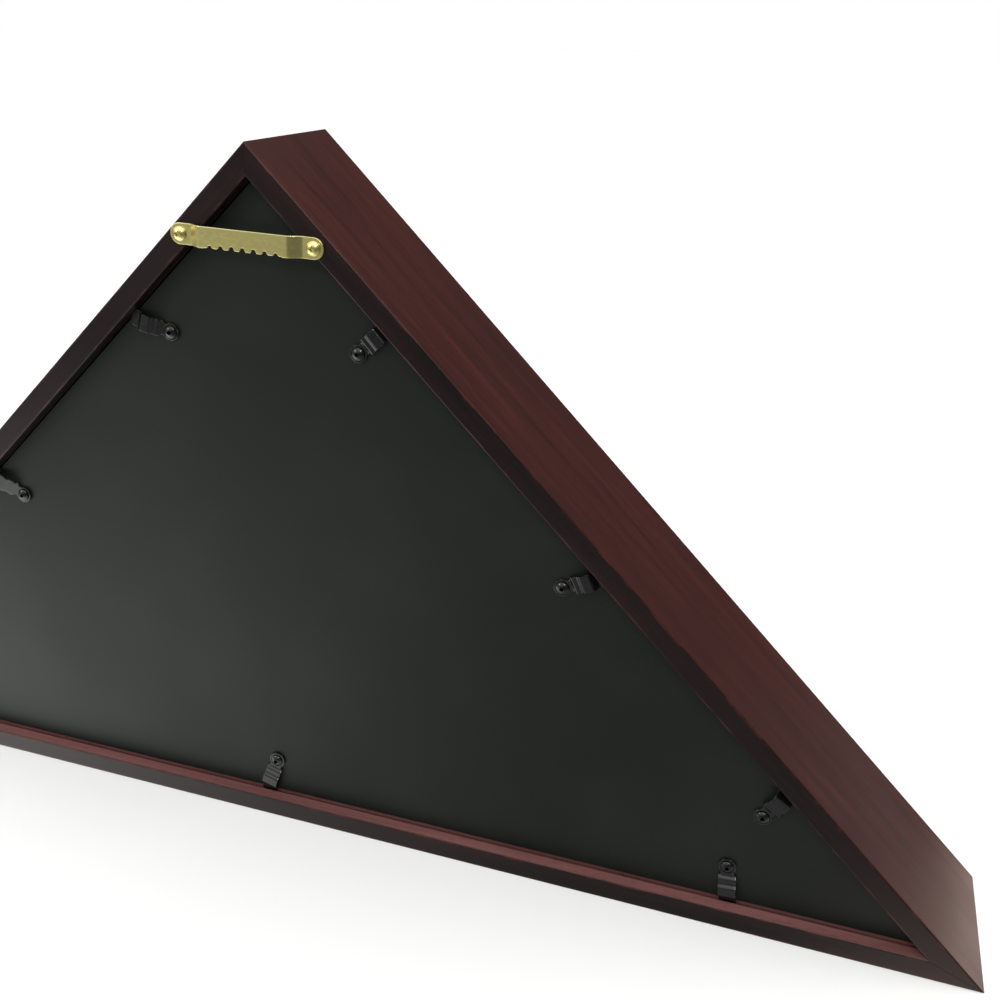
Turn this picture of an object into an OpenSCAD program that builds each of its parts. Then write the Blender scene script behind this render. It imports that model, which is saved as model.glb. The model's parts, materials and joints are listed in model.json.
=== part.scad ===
// Folded flag display case.
// A triangular shadow box of three mitred rails, with glass at the front and a loose
// backboard at the back, which nine turn buttons hold in. A sawtooth hanger bridges
// the apex, and the case also stands on its base rail.
// Frame: X along the base, with +X on the right seen from the front. Y from the glass
// front (-Y) to the back (+Y). Z up. The origin is the middle of the base's underside.
// Lengths are in millimetres and angles in degrees.

/* [Case] */
// Width along the base, corner to corner
case_w = 640; // [520:1:780]
// Height from the underside of the base to the apex
case_h = 320; // [260:1:390]
// Depth from front to back
case_d = 70; // [56:1:110]

/* [Rails] */
// Thickness of a rail's wall, which is also the width of its back face
rail_wall = 9.5; // [7.5:0.1:13]
// Width of the front lip that frames the glass
lip_w = 18; // [16:0.5:26]
// Thickness of the front lip, from its face to the glass
lip_t = 5; // [4.5:0.1:8]
// Width of the flat part of the front face
face_w = 12; // [8:0.5:13]
// How far the front moulding's cove sinks towards the glass
cove_h = 3; // [2:0.1:4]
// Size of the eased edges of the rails
arris = 0.6; // [0.3:0.1:1]
// Depth of the groove that the turn buttons catch in
groove_deep = 3; // [2.4:0.1:4]
// Width of that groove
groove_w = 2.2; // [1.8:0.1:3]

/* [Corner splines] */
// Thickness of the wooden spline across each mitre
spline_t = 2.4; // [1.8:0.1:2.8]
// Width of a spline across its mitre
spline_w = 6; // [4:0.1:6]
// How far a spline's ends stop short of the glass seat and of the backboard
spline_stop = 3; // [2:0.5:8]

/* [Glass] */
// Thickness of the glass
glass_t = 2; // [1.8:0.1:3]
// Gap between the glass's edge and the rails
glass_play = 1; // [0.5:0.1:2]

/* [Liner] */
// Thickness of the liner strips that hold the glass and carry the backboard
liner_t = 5; // [4:0.1:8]
// Brads in each strip
brads_per_side = 3; // [2:1:5]
// Diameter of a brad's shank
brad_d = 1.2; // [1:0.1:1.6]
// Diameter of a brad's head
brad_head_d = 2; // [1.8:0.1:2.6]
// Thickness of a brad's head, which is driven flush
brad_head_t = 0.7; // [0.5:0.1:1]
// How deep a brad goes into the rail
brad_bite = 5; // [3:0.5:6]

/* [Backboard] */
// Thickness of the backboard
board_t = 3; // [2.4:0.1:4]
// Thickness of the felt on the backboard's inner face
felt_t = 0.8; // [0.5:0.1:1.5]
// How far the backboard lies below the back edges of the rails
board_recess = 7.2; // [6:0.1:12]
// Gap between the backboard's edge and the rails
board_play = 0.8; // [0.4:0.1:1.4]

/* [Turn buttons] */
// Distance of a button's rivet from the rail's inner wall
button_setback = 17.7; // [15:0.1:24]
// How far a button's tip reaches into the groove
tip_bite = 2; // [1.5:0.1:2.2]
// Distance along a sloped side from the apex to its first button
apex_margin = 90; // [80:1:130]
// Distance along each side from a base corner to the nearest button
corner_margin = 107; // [95:1:140]
// Sideways place of the middle base button
base_button_shift = 4; // [-10:1:10]
// Thickness of the pressed steel
button_t = 0.8; // [0.6:0.1:1]
// Width of the pad
button_w = 7.6; // [6:0.1:9]
// Width of the neck beside the rivet
neck_w = 5.6; // [4.5:0.1:6]
// Diameter of the round tail about the rivet
tail_d = 7.8; // [6.5:0.1:9]
// Radius of the tip's corners
tip_round = 1.5; // [0.5:0.1:2.5]
// Length along the button of each bend's slope
bend_l = 1.2; // [0.8:0.1:1.6]
// Distance from the tail to the shelf's bend
shelf_gap = 0.6; // [0.4:0.1:1.5]
// Length of the shelf, with its bend
shelf_l = 3.7; // [3:0.1:4.5]
// Rise of the shelf between the neck and the pad
shelf_rise = 1.3; // [0.8:0.1:2]
// Rise of the pad
pad_rise = 2.6; // [2:0.1:3.4]
// Length of the flat tip
tip_l = 3.9; // [3.5:0.1:5]
// Length of the slope from the pad down to the tip
tip_slope_l = 2.1; // [1.5:0.1:3]
// Gap under and over a button's neck
button_play = 0.3; // [0.2:0.05:0.4]
// Angles that the left side's buttons point at, from the apex down, from +X towards +Z
left_angles = [138, 155, 122.7];
// Angles of the right side's buttons, from the apex down
right_angles = [15.7, 30, 45];
// Angles of the base's buttons, from left to right
base_angles = [-95, -74, -88];

/* [Button rivets] */
// Diameter of a rivet's domed head
rivet_head_d = 5.8; // [5:0.1:7]
// Height of a rivet's head
rivet_head_h = 1.4; // [1:0.1:2]
// Diameter of a rivet's shank
rivet_d = 3; // [2.4:0.1:3.4]
// Diameter of the hollow in a rivet's head
rivet_bore_d = 1.8; // [1.2:0.1:2]
// Depth of that hollow
rivet_bore_deep = 2.6; // [2:0.1:3]
// Radial gap between a rivet and the hole in its button
pivot_play = 0.08; // [0.04:0.01:0.1]
// Diameter of the flange that a rivet is set with inside the backboard
clench_d = 4.8; // [4:0.1:6]
// Thickness of that flange
clench_t = 0.7; // [0.5:0.1:1]

/* [Hanger] */
// Distance between the hanger's screws
hanger_screw_gap = 60.7; // [56:0.1:76]
// Distance of those screws from the rails' outer faces
hanger_screw_in = 6; // [5:0.1:6.5]
// Width of the hanger's strip, top to bottom
hanger_w = 8.9; // [8:0.1:10]
// Thickness of the hanger's strip
hanger_t = 0.9; // [0.7:0.1:1.2]
// Sideways place of the hanger
hanger_shift = 0.9; // [-1:0.1:1]
// How far the hanger is off the level, with its +X end up
hanger_tilt = 1.3; // [-1.5:0.1:1.5]
// Length of the raised band
band_l = 41; // [38:1:46]
// Length of the slope at each end of the raised band
band_slope_l = 4.5; // [3:0.5:6]
// Height of the raised band's inner face above the rails
band_rise = 2.6; // [2:0.1:4]
// Notches along the lower edge
notch_n = 7; // [5:2:9]
// Distance between notches
notch_pitch = 5; // [4.2:0.1:5]
// Depth of a notch
notch_deep = 1.2; // [1:0.1:2]
// Radius of the top of a notch
notch_r = 0.9; // [0.5:0.1:1]
// Width of a notch's mouth
notch_w = 2.8; // [2.2:0.1:4]
// How far the tips of the teeth stand back from the lower edge
teeth_back = 0.2; // [0.1:0.1:1.2]
// How much higher the middle notch is than the outer ones
teeth_arch = 0.5; // [0:0.1:1]

/* [Hanger screws] */
// Diameter of a screw's pan head
screw_head_d = 6; // [5:0.1:7]
// Height of that head
screw_head_h = 1.9; // [1.5:0.1:2.5]
// Height of the head's straight rim
screw_rim_h = 0.6; // [0.4:0.1:1]
// Diameter of a screw's shank
screw_d = 2.6; // [2:0.1:3]
// Length of a screw under its head
screw_l = 10; // [8:1:14]
// Length of each arm of the head's cross recess, end to end
recess_l = 3.2; // [2.4:0.1:3.8]
// Width of those arms
recess_w = 0.8; // [0.6:0.1:1]
// Depth of the recess
recess_deep = 1.2; // [0.8:0.1:1.4]

/* [Hidden] */
$fn = 48;

// Extra length of a cutter past the face that it leaves by
past = 1;
// Flat steps in the front moulding's cove
cove_steps = 6;

// The sloped sides' angle above the base, and the length of one
slope = atan(2 * case_h / case_w);
side_l = norm([case_w / 2, case_h]);

// The case's corners in X and Z. Side 0 is the base, 1 the right and 2 the left. Side i
// runs from corner i to the next corner, with the inside of the case on its left hand.
BASE = 0;
RIGHT = 1;
LEFT = 2;
corners = [[-case_w / 2, 0], [case_w / 2, 0], [0, case_h]];
side_angles = [0, 180 - slope, 180 + slope];
side_lengths = [case_w, side_l, side_l];
// The angle inside each corner, and the direction from it into the case
corner_angles = [slope, slope, 180 - 2 * slope];
inward_angles = [slope / 2, 180 - slope / 2, 270];

// The stack from front to back
front_y = -case_d / 2;
back_y = case_d / 2;
seat_y = front_y + lip_t;
glass_y = seat_y + glass_t;
board_back_y = back_y - board_recess;
board_y = board_back_y - board_t;
felt_y = board_y - felt_t;
liner_mid_y = (glass_y + felt_y) / 2;

// The buttons' levels, the groove about their tips, and their shape along the reach
neck_y = board_back_y + button_play;
rivet_seat_y = neck_y + button_t + button_play;
groove_y = neck_y + button_t / 2 - groove_w / 2;
button_reach = button_setback + tip_bite;
shelf_x = tail_d / 2 + shelf_gap;
pad_x = shelf_x + shelf_l;
tip_x = button_reach - tip_l;
pad_end_x = tip_x - tip_slope_l;
button_inset = rail_wall + button_setback;

// The height at which the level hanger's screws meet both rails' back faces
hanger_z = apex_z(hanger_screw_in) - hanger_screw_gap / 2 * tan(slope);
hanger_l = hanger_screw_gap + hanger_w;
teeth_l = notch_n * notch_pitch;

// ---------------------------------------------------------------- shared geometry

// The apex height and the half width at the foot of the case's triangle once every
// side has moved in by t, and that triangle in X and Z
function apex_z(t) = case_h - t / cos(slope);
function foot_x(t) = (apex_z(t) - t) / tan(slope);
function inset_triangle(t) = [[-foot_x(t), t], [foot_x(t), t], [0, apex_z(t)]];

// The centre of the triangle, where the mitres meet
mitre_r = case_h / (1 + 1 / cos(slope));

// A point at a distance s along a side and t inwards from it, in X and Z
function side_point(side, s, t) =
    let (a = side_angles[side])
    corners[side] + s * [cos(a), sin(a)] + t * [-sin(a), cos(a)];

// A bent strip of thickness t whose lower face follows the points of a path
function strip(path, t) = concat(
    path,
    [for (i = [len(path) - 1 : -1 : 0]) path[i] + [0, t]]
);

// Raises an outline in X and Z into a slab from y0 to y1
module slab(y0, y1) {
    translate([0, y1, 0])
        rotate([90, 0, 0])
            linear_extrude(y1 - y0)
                children();
}

// Turns a shape in the X and Z plane, from +X towards +Z, and takes it to a point there
module place(point, angle, y = 0) {
    translate([point[0], y, point[1]])
        rotate([0, -angle, 0])
            children();
}

// A bar along a side with the section's x as the distance inwards, mitred at both ends
module mitred_bar(side) {
    intersection() {
        place(corners[side], side_angles[side])
            translate([side_lengths[side], 0, 0])
                rotate([0, -90, 0])
                    linear_extrude(side_lengths[side])
                        children();
        slab(front_y - past, back_y + past)
            polygon([corners[side], corners[(side + 1) % 3], [0, mitre_r]]);
    }
}

// A round rod that stands on the X and Z plane and points to +Y
module rod(d, l) {
    rotate([-90, 0, 0])
        cylinder(d = d, h = l);
}

// A spherical cap on the X and Z plane, which bulges to +Y
module dome(d, h) {
    ball_r = (d * d / 4 + h * h) / (2 * h);
    intersection() {
        translate([0, h - ball_r, 0]) sphere(ball_r);
        rod(d, h);
    }
}

// ---------------------------------------------------------------- rails and splines

// A rail's section: distance inwards, then depth. The front face ends in a cove, and
// the back of the wall has the groove for the buttons' tips.
module rail_section() {
    cove_w = lip_w - face_w;
    groove_t = rail_wall - groove_deep;
    polygon(concat(
        [[0, front_y + arris], [arris, front_y]],
        [for (i = [0 : cove_steps]) [
            face_w + cove_w * (1 - cos(90 * i / cove_steps)),
            front_y + cove_h * sin(90 * i / cove_steps)
        ]],
        [[lip_w, seat_y], [rail_wall, seat_y]],
        [[rail_wall, groove_y], [groove_t, groove_y]],
        [[groove_t, groove_y + groove_w], [rail_wall, groove_y + groove_w]],
        [[rail_wall, back_y - arris], [rail_wall - arris, back_y]],
        [[arris, back_y], [0, back_y - arris]]
    ));
}

module rail(side) {
    color([0.26, 0.10, 0.10])
        difference() {
            mitred_bar(side) rail_section();
            spline(side);
            spline((side + 1) % 3);
            brads(side);
            hanger_screw_rods();
        }
}

// A blind spline across the mitre at a corner, level with the middle of the wall
module spline(corner) {
    centre_l = rail_wall / 2 / sin(corner_angles[corner] / 2);
    color([0.72, 0.56, 0.38])
        place(corners[corner], inward_angles[corner])
            translate([centre_l - spline_t / 2, seat_y + spline_stop, -spline_w / 2])
                cube([spline_t, board_y - seat_y - 2 * spline_stop, spline_w]);
}

// ---------------------------------------------------------------- glass and liner

module front_glass() {
    color([0.78, 0.88, 0.86, 0.35])
        slab(seat_y, glass_y)
            polygon(inset_triangle(rail_wall + glass_play));
}

module liner(side) {
    color([0.22, 0.09, 0.09])
        difference() {
            mitred_bar(side)
                translate([rail_wall, glass_y])
                    square([liner_t, felt_y - glass_y]);
            brads(side);
        }
}

// The brads of one side, driven outwards through the liner into the rail
module brads(side) {
    head_t = rail_wall + liner_t;
    for (i = [1 : brads_per_side])
        place(
            side_point(side, side_lengths[side] * i / (brads_per_side + 1), head_t),
            side_angles[side],
            liner_mid_y
        ) {
            translate([0, 0, -liner_t - brad_bite])
                cylinder(d = brad_d, h = liner_t + brad_bite);
            translate([0, 0, -brad_head_t])
                cylinder(d = brad_head_d, h = brad_head_t);
        }
}

module liner_brads() {
    color([0.60, 0.60, 0.62])
        for (side = [BASE, RIGHT, LEFT])
            brads(side);
}

// ---------------------------------------------------------------- backboard

module backboard() {
    color([0.13, 0.14, 0.13])
        difference() {
            slab(board_y, board_back_y)
                polygon(inset_triangle(rail_wall + board_play));
            for (pivot = all_pivots) {
                place(pivot, 0, board_y - past) rod(rivet_d, board_t + 2 * past);
                place(pivot, 0, board_y - past) rod(clench_d, clench_t + past);
            }
        }
}

module felt_lining() {
    color([0.05, 0.05, 0.06])
        slab(felt_y, board_y)
            polygon(inset_triangle(rail_wall + board_play));
}

// ---------------------------------------------------------------- turn buttons

// The rivets' places. A sloped side has one near the apex, one near the base and one
// halfway, and the base has one near each corner and one near its middle.
slope_stops = [
    apex_margin,
    (apex_margin + side_l - corner_margin) / 2,
    side_l - corner_margin
];
left_pivots = [for (s = slope_stops) side_point(LEFT, s, button_inset)];
right_pivots = [for (s = slope_stops) side_point(RIGHT, side_l - s, button_inset)];
base_pivots = [
    [corner_margin - case_w / 2, button_inset],
    [base_button_shift, button_inset],
    [case_w / 2 - corner_margin, button_inset]
];
all_pivots = concat(left_pivots, right_pivots, base_pivots);

// A button that points along +X from its rivet, with its neck on the X and Z plane:
// a flat neck, a shelf, a raised pad, and a tip bent back down to the neck's level
module button_blank() {
    path = [
        [-tail_d / 2, 0], [shelf_x, 0],
        [shelf_x + bend_l, shelf_rise], [pad_x, shelf_rise],
        [pad_x + bend_l, pad_rise], [pad_end_x, pad_rise],
        [tip_x, 0], [button_reach, 0]
    ];
    intersection() {
        translate([0, 0, -tail_d / 2])
            linear_extrude(tail_d)
                polygon(strip(path, button_t));
        slab(-past, pad_rise + button_t + past)
            button_outline();
    }
}

module button_outline() {
    circle(d = tail_d);
    translate([0, -neck_w / 2])
        square([shelf_x, neck_w]);
    translate([shelf_x, -button_w / 2])
        square([button_reach - tip_round - shelf_x, button_w]);
    translate([button_reach - 2 * tip_round, tip_round - button_w / 2])
        square([2 * tip_round, button_w - 2 * tip_round]);
    for (z = [tip_round - button_w / 2, button_w / 2 - tip_round])
        translate([button_reach - tip_round, z])
            circle(tip_round);
}

module turn_button(pivot, angle) {
    color([0.10, 0.10, 0.10])
        place(pivot, angle, neck_y)
            difference() {
                button_blank();
                translate([0, -past, 0])
                    rod(rivet_d + 2 * pivot_play, button_t + 2 * past);
            }
}

module button_rivets() {
    color([0.12, 0.12, 0.12])
        for (pivot = all_pivots)
            place(pivot, 0, board_y)
                difference() {
                    union() {
                        rod(rivet_d, rivet_seat_y - board_y);
                        rod(clench_d, clench_t);
                        translate([0, rivet_seat_y - board_y, 0])
                            dome(rivet_head_d, rivet_head_h);
                    }
                    translate([0, rivet_seat_y - board_y + rivet_head_h - rivet_bore_deep, 0])
                        rod(rivet_bore_d, rivet_bore_deep + past);
                }
}

// ---------------------------------------------------------------- hanger

// The hanger, centred on the origin with its tabs on the X and Z plane
module hanger_blank() {
    flat_l = hanger_l / 2;
    foot = band_l / 2 + band_slope_l;
    path = [
        [-flat_l, 0], [-foot, 0], [-band_l / 2, band_rise],
        [band_l / 2, band_rise], [foot, 0], [flat_l, 0]
    ];
    intersection() {
        translate([0, 0, -hanger_w / 2])
            linear_extrude(hanger_w)
                polygon(strip(path, hanger_t));
        slab(-past, band_rise + hanger_t + past)
            hanger_outline();
    }
}

module hanger_outline() {
    difference() {
        union() {
            square([hanger_screw_gap, hanger_w], center = true);
            for (x = [-1, 1] * hanger_screw_gap / 2)
                translate([x, 0])
                    circle(d = hanger_w);
        }
        for (x = [-1, 1] * hanger_screw_gap / 2)
            translate([x, 0])
                circle(d = screw_d);
        translate([0, -hanger_w / 2])
            teeth_cut();
    }
}

// What is cut from the strip's lower edge: a shallow recess with a notch at each pitch
module teeth_cut() {
    half_n = (notch_n - 1) / 2;
    translate([-teeth_l / 2, -past])
        square([teeth_l, teeth_back + past]);
    for (i = [-half_n : half_n]) {
        rise = teeth_arch * (1 - pow(i / half_n, 2));
        top = teeth_back + notch_deep + rise - notch_r;
        translate([i * notch_pitch, 0]) {
            translate([0, top]) circle(notch_r);
            polygon([
                [-notch_w / 2, 0], [notch_w / 2, 0],
                [notch_r, top], [-notch_r, top]
            ]);
        }
    }
}

module sawtooth_hanger() {
    color([0.75, 0.68, 0.38])
        place([hanger_shift, hanger_z], hanger_tilt, back_y)
            hanger_blank();
}

// The places of the two hanger screws, on the outer face of the hanger's tabs
module at_hanger_screws() {
    place([hanger_shift, hanger_z], hanger_tilt, back_y + hanger_t)
        for (x = [-1, 1] * hanger_screw_gap / 2)
            translate([x, 0, 0])
                children();
}

module hanger_screw_rods() {
    at_hanger_screws()
        translate([0, -screw_l, 0])
            rod(screw_d, screw_l);
}

module hanger_screws() {
    color([0.78, 0.70, 0.40]) {
        hanger_screw_rods();
        at_hanger_screws()
            difference() {
                union() {
                    rod(screw_head_d, screw_rim_h);
                    translate([0, screw_rim_h, 0])
                        dome(screw_head_d, screw_head_h - screw_rim_h);
                }
                for (turn = [45, 135])
                    rotate([0, turn, 0])
                        translate([-recess_l / 2, screw_head_h - recess_deep, -recess_w / 2])
                            cube([recess_l, recess_deep + past, recess_w]);
            }
    }
}

// ---------------------------------------------------------------- nodes

rail(LEFT);  // left_rail
rail(RIGHT);  // right_rail
rail(BASE);  // base_rail
spline(2);  // apex_spline
spline(0);  // left_spline
spline(1);  // right_spline
front_glass();
liner(LEFT);  // left_liner
liner(RIGHT);  // right_liner
liner(BASE);  // base_liner
liner_brads();
backboard();
felt_lining();
turn_button(left_pivots[0], left_angles[0]);  // turn_button_left_1
turn_button(left_pivots[1], left_angles[1]);  // turn_button_left_2
turn_button(left_pivots[2], left_angles[2]);  // turn_button_left_3
turn_button(right_pivots[0], right_angles[0]);  // turn_button_right_1
turn_button(right_pivots[1], right_angles[1]);  // turn_button_right_2
turn_button(right_pivots[2], right_angles[2]);  // turn_button_right_3
turn_button(base_pivots[0], base_angles[0]);  // turn_button_base_1
turn_button(base_pivots[1], base_angles[1]);  // turn_button_base_2
turn_button(base_pivots[2], base_angles[2]);  // turn_button_base_3
button_rivets();
sawtooth_hanger();
hanger_screws();
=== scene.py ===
"""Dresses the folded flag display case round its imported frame.

Lengths are in metres and follow the frame's axes: +X along the base, +Y from the glass to
the back, +Z up to the apex. Shapes that are worked out in a piece's own axes use millimetres
and are scaled once, when their mesh is made.
"""

import json
import logging
import math
from collections.abc import Iterable, Sequence
from dataclasses import dataclass, field
from enum import Enum

import bmesh
import bpy
from mathutils import Matrix, Quaternion, Vector, noise


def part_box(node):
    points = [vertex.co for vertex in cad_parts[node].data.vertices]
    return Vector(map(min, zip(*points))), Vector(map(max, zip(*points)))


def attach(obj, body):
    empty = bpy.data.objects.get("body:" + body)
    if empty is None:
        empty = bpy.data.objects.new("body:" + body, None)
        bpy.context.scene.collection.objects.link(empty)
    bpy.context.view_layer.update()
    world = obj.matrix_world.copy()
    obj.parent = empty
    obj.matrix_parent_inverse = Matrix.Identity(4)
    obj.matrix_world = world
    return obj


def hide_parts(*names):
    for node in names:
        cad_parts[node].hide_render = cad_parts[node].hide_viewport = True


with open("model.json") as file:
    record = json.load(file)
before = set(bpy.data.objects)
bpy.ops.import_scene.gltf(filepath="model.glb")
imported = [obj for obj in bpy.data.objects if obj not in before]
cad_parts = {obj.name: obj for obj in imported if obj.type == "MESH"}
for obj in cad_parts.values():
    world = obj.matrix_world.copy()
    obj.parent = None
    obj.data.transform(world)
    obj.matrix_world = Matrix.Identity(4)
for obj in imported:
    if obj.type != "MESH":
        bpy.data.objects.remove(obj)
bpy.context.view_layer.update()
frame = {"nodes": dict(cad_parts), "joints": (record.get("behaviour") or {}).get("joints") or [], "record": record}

MM = 0.001
LOG = logging.getLogger("flag_case")

Rgba = tuple[float, float, float, float]
Point2 = tuple[float, float]
Sockets = dict[str | int, object]
Triple = tuple[float, float, float]
SectionPoint = Triple


# ------------------------------------------------------------------ small tools


def linear(code: str) -> Rgba:
    """Turns an sRGB colour into the linear light that shaders work in.

    Args:
        code: Six hex digits, such as "5e2826".

    Returns:
        Linear red, green and blue, with an alpha of 1.
    """
    parts = [int(code[i:i + 2], 16) / 255 for i in (0, 2, 4)]
    return (*(v / 12.92 if v <= 0.04045 else ((v + 0.055) / 1.055) ** 2.4 for v in parts), 1.0)


def add_node(tree: bpy.types.NodeTree, kind: str, sockets: Sockets | None = None,
             **settings: object) -> bpy.types.Node:
    """Adds one node to a tree, sets it up and links it.

    Args:
        tree: The tree that gets the node.
        kind: The node's type name.
        sockets: Input name or index, to a value, an output socket, or a node whose first
            output in use is taken.
        **settings: The node's own properties.

    Returns:
        The new node.
    """
    node = tree.nodes.new(kind)
    for name, value in settings.items():
        setattr(node, name, value)
    for key, value in (sockets or {}).items():
        if isinstance(key, int):
            socket = node.inputs[key]
        else:
            socket = next(s for s in node.inputs if s.enabled and s.name == key)
        if isinstance(value, bpy.types.Node):
            value = next(s for s in value.outputs if s.enabled)
        if isinstance(value, bpy.types.NodeSocket):
            tree.links.new(value, socket)
        else:
            socket.default_value = value
    return node


def arc(centre: Point2, radius: float, start: float, end: float, steps: int) -> list[Point2]:
    """Returns the points of an arc, both ends included.

    Args:
        centre: The arc's centre.
        radius: Its radius.
        start: The angle of its first point, in degrees.
        end: The angle of its last point.
        steps: How many chords it has.

    Returns:
        The points in order.
    """
    angles = [math.radians(start + (end - start) * i / steps) for i in range(steps + 1)]
    return [(centre[0] + radius * math.cos(a), centre[1] + radius * math.sin(a)) for a in angles]


def link(name: str, mesh: bpy.types.Mesh) -> bpy.types.Object:
    """Puts a mesh into the scene as an object at the origin."""
    made = bpy.data.objects.new(name, mesh)
    bpy.context.scene.collection.objects.link(made)
    return made


def to_mesh(name: str, shape: bmesh.types.BMesh, scale: float = MM) -> bpy.types.Mesh:
    """Turns a closed shape into a mesh whose faces point outwards.

    Args:
        name: The mesh's name.
        shape: The shape, which is freed.
        scale: What its lengths are multiplied by.

    Returns:
        The mesh, in metres.
    """
    bmesh.ops.scale(shape, vec=(scale,) * 3, verts=shape.verts)
    bmesh.ops.recalc_face_normals(shape, faces=shape.faces)
    mesh = bpy.data.meshes.new(name)
    shape.to_mesh(mesh)
    shape.free()
    return mesh


def soften(piece: bpy.types.Object, sharp_from: float = 32.0) -> None:
    """Shades a piece smooth, with flat faces kept flat and sharp edges kept sharp.

    Args:
        piece: The piece.
        sharp_from: The least angle of a sharp edge, in degrees.
    """
    mesh = piece.data
    mesh.shade_smooth()
    mesh.set_sharp_from_angle(angle=math.radians(sharp_from))
    modifier = piece.modifiers.new("even_shading", "WEIGHTED_NORMAL")
    modifier.keep_sharp = True


def fit(piece: bpy.types.Object, body: str, nodes: Sequence[str]) -> None:
    """Makes a piece ride on a CAD body and stand for CAD nodes.

    Args:
        piece: The finished piece.
        body: The body it moves with.
        nodes: The CAD nodes it stands for.
    """
    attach(piece, body)
    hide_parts(*nodes)
    LOG.info("%s: %d faces on %s", piece.name, len(piece.data.polygons), body)


def dress(node: str, material: bpy.types.Material) -> None:
    """Gives a CAD node its material."""
    slots = frame["nodes"][node].data.materials
    slots.clear()
    slots.append(material)
    LOG.info("%s: %s", node, material.name)


# ------------------------------------------------------------------ the case's layout


class Side(Enum):
    """The case's sides, in order round it, with the inside on the left hand."""

    BASE = 0
    RIGHT = 1
    LEFT = 2

    @property
    def label(self) -> str:
        """The side's name as the CAD nodes say it."""
        return self.name.lower()


@dataclass(frozen=True)
class Layout:
    """The case's main sizes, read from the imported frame, in millimetres."""

    width: float
    height: float
    front: float
    back: float
    wall: float
    lip: float
    seat: float
    glass_back: float
    liner: float
    felt_front: float
    board_front: float
    board_back: float

    @classmethod
    def from_frame(cls) -> "Layout":
        """Reads the sizes from the CAD nodes' boxes."""
        base_low, base_high = (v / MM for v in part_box("base_rail"))
        glass_low, glass_high = (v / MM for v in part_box("front_glass"))
        liner_low, liner_high = (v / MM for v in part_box("base_liner"))
        board_low, board_high = (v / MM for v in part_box("backboard"))
        return cls(
            width=base_high.x - base_low.x,
            height=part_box("left_rail")[1].z / MM,
            front=base_low.y,
            back=base_high.y,
            wall=liner_low.z,
            lip=base_high.z,
            seat=glass_low.y,
            glass_back=glass_high.y,
            liner=liner_high.z - liner_low.z,
            felt_front=liner_high.y,
            board_front=board_low.y,
            board_back=board_high.y,
        )

    @property
    def slope(self) -> float:
        """The sloped sides' angle above the base, in radians."""
        return math.atan2(2 * self.height, self.width)

    def corner(self, side: Side) -> Vector:
        """Returns the corner where a side starts, with Y at zero."""
        half = self.width / 2
        return Vector([(-half, 0, 0), (half, 0, 0), (0, 0, self.height)][side.value])

    def length(self, side: Side) -> float:
        """Returns a side's length."""
        return self.width if side is Side.BASE else math.hypot(self.width / 2, self.height)

    def turn(self, side: Side) -> float:
        """Returns a side's angle from +X towards +Z, in radians."""
        return [0.0, math.pi - self.slope, math.pi + self.slope][side.value]

    def slants(self, side: Side) -> Point2:
        """Returns how far the mitres at a side's start and end run along it, for each
        millimetre inwards."""
        foot = 1 / math.tan(self.slope / 2)
        apex = 1 / math.tan(math.pi / 2 - self.slope)
        return [(foot, foot), (foot, apex), (apex, foot)][side.value]

    def point(self, side: Side, along: float, inwards: float, depth: float) -> Vector:
        """Returns a point beside a side.

        Args:
            side: The side.
            along: The distance along it from its corner.
            inwards: The distance from its outer face into the case.
            depth: The point's Y.

        Returns:
            The point, in millimetres.
        """
        a = self.turn(side)
        run, rise = Vector((math.cos(a), 0, math.sin(a))), Vector((-math.sin(a), 0, math.cos(a)))
        return self.corner(side) + along * run + inwards * rise + Vector((0, depth, 0))


# ------------------------------------------------------------------ finishes


@dataclass(frozen=True)
class Placement:
    """Where a piece's own axes lie, so that a pattern runs along it."""

    origin: Triple = (0.0, 0.0, 0.0)
    turn: float = 0.0

    def coordinates(self, tree: bpy.types.NodeTree) -> bpy.types.Node:
        """Adds nodes that give the place on the piece in millimetres, X along it.

        Args:
            tree: The material's tree.

        Returns:
            The mapping node.
        """
        place = add_node(tree, "ShaderNodeTexCoord")
        return add_node(tree, "ShaderNodeMapping", {
            "Vector": place.outputs["Object"],
            "Location": self.origin,
            "Rotation": (0, -self.turn, 0),
            "Scale": (MM, MM, MM),
        }, vector_type="TEXTURE")


@dataclass(frozen=True)
class Finish:
    """A surface finish, as its maker would name it."""

    name: str

    def material(self, placement: Placement = Placement(), suffix: str = "") -> bpy.types.Material:
        """Makes the finish's material for a piece.

        Args:
            placement: The piece's own axes.
            suffix: What is added to the material's name.

        Returns:
            The material.
        """
        made = bpy.data.materials.new(self.name + suffix)
        made.use_nodes = True
        tree = made.node_tree
        tree.nodes.clear()
        sockets = self.surface(tree, placement.coordinates(tree))
        shader = add_node(tree, "ShaderNodeBsdfPrincipled", sockets)
        add_node(tree, "ShaderNodeOutputMaterial", {"Surface": shader})
        return made

    def surface(self, tree: bpy.types.NodeTree, place: bpy.types.Node) -> Sockets:
        """Adds the finish's pattern nodes.

        Args:
            tree: The material's tree.
            place: The node that gives the place on the piece, in millimetres.

        Returns:
            The shader's sockets and what feeds them.
        """
        raise NotImplementedError


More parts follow.
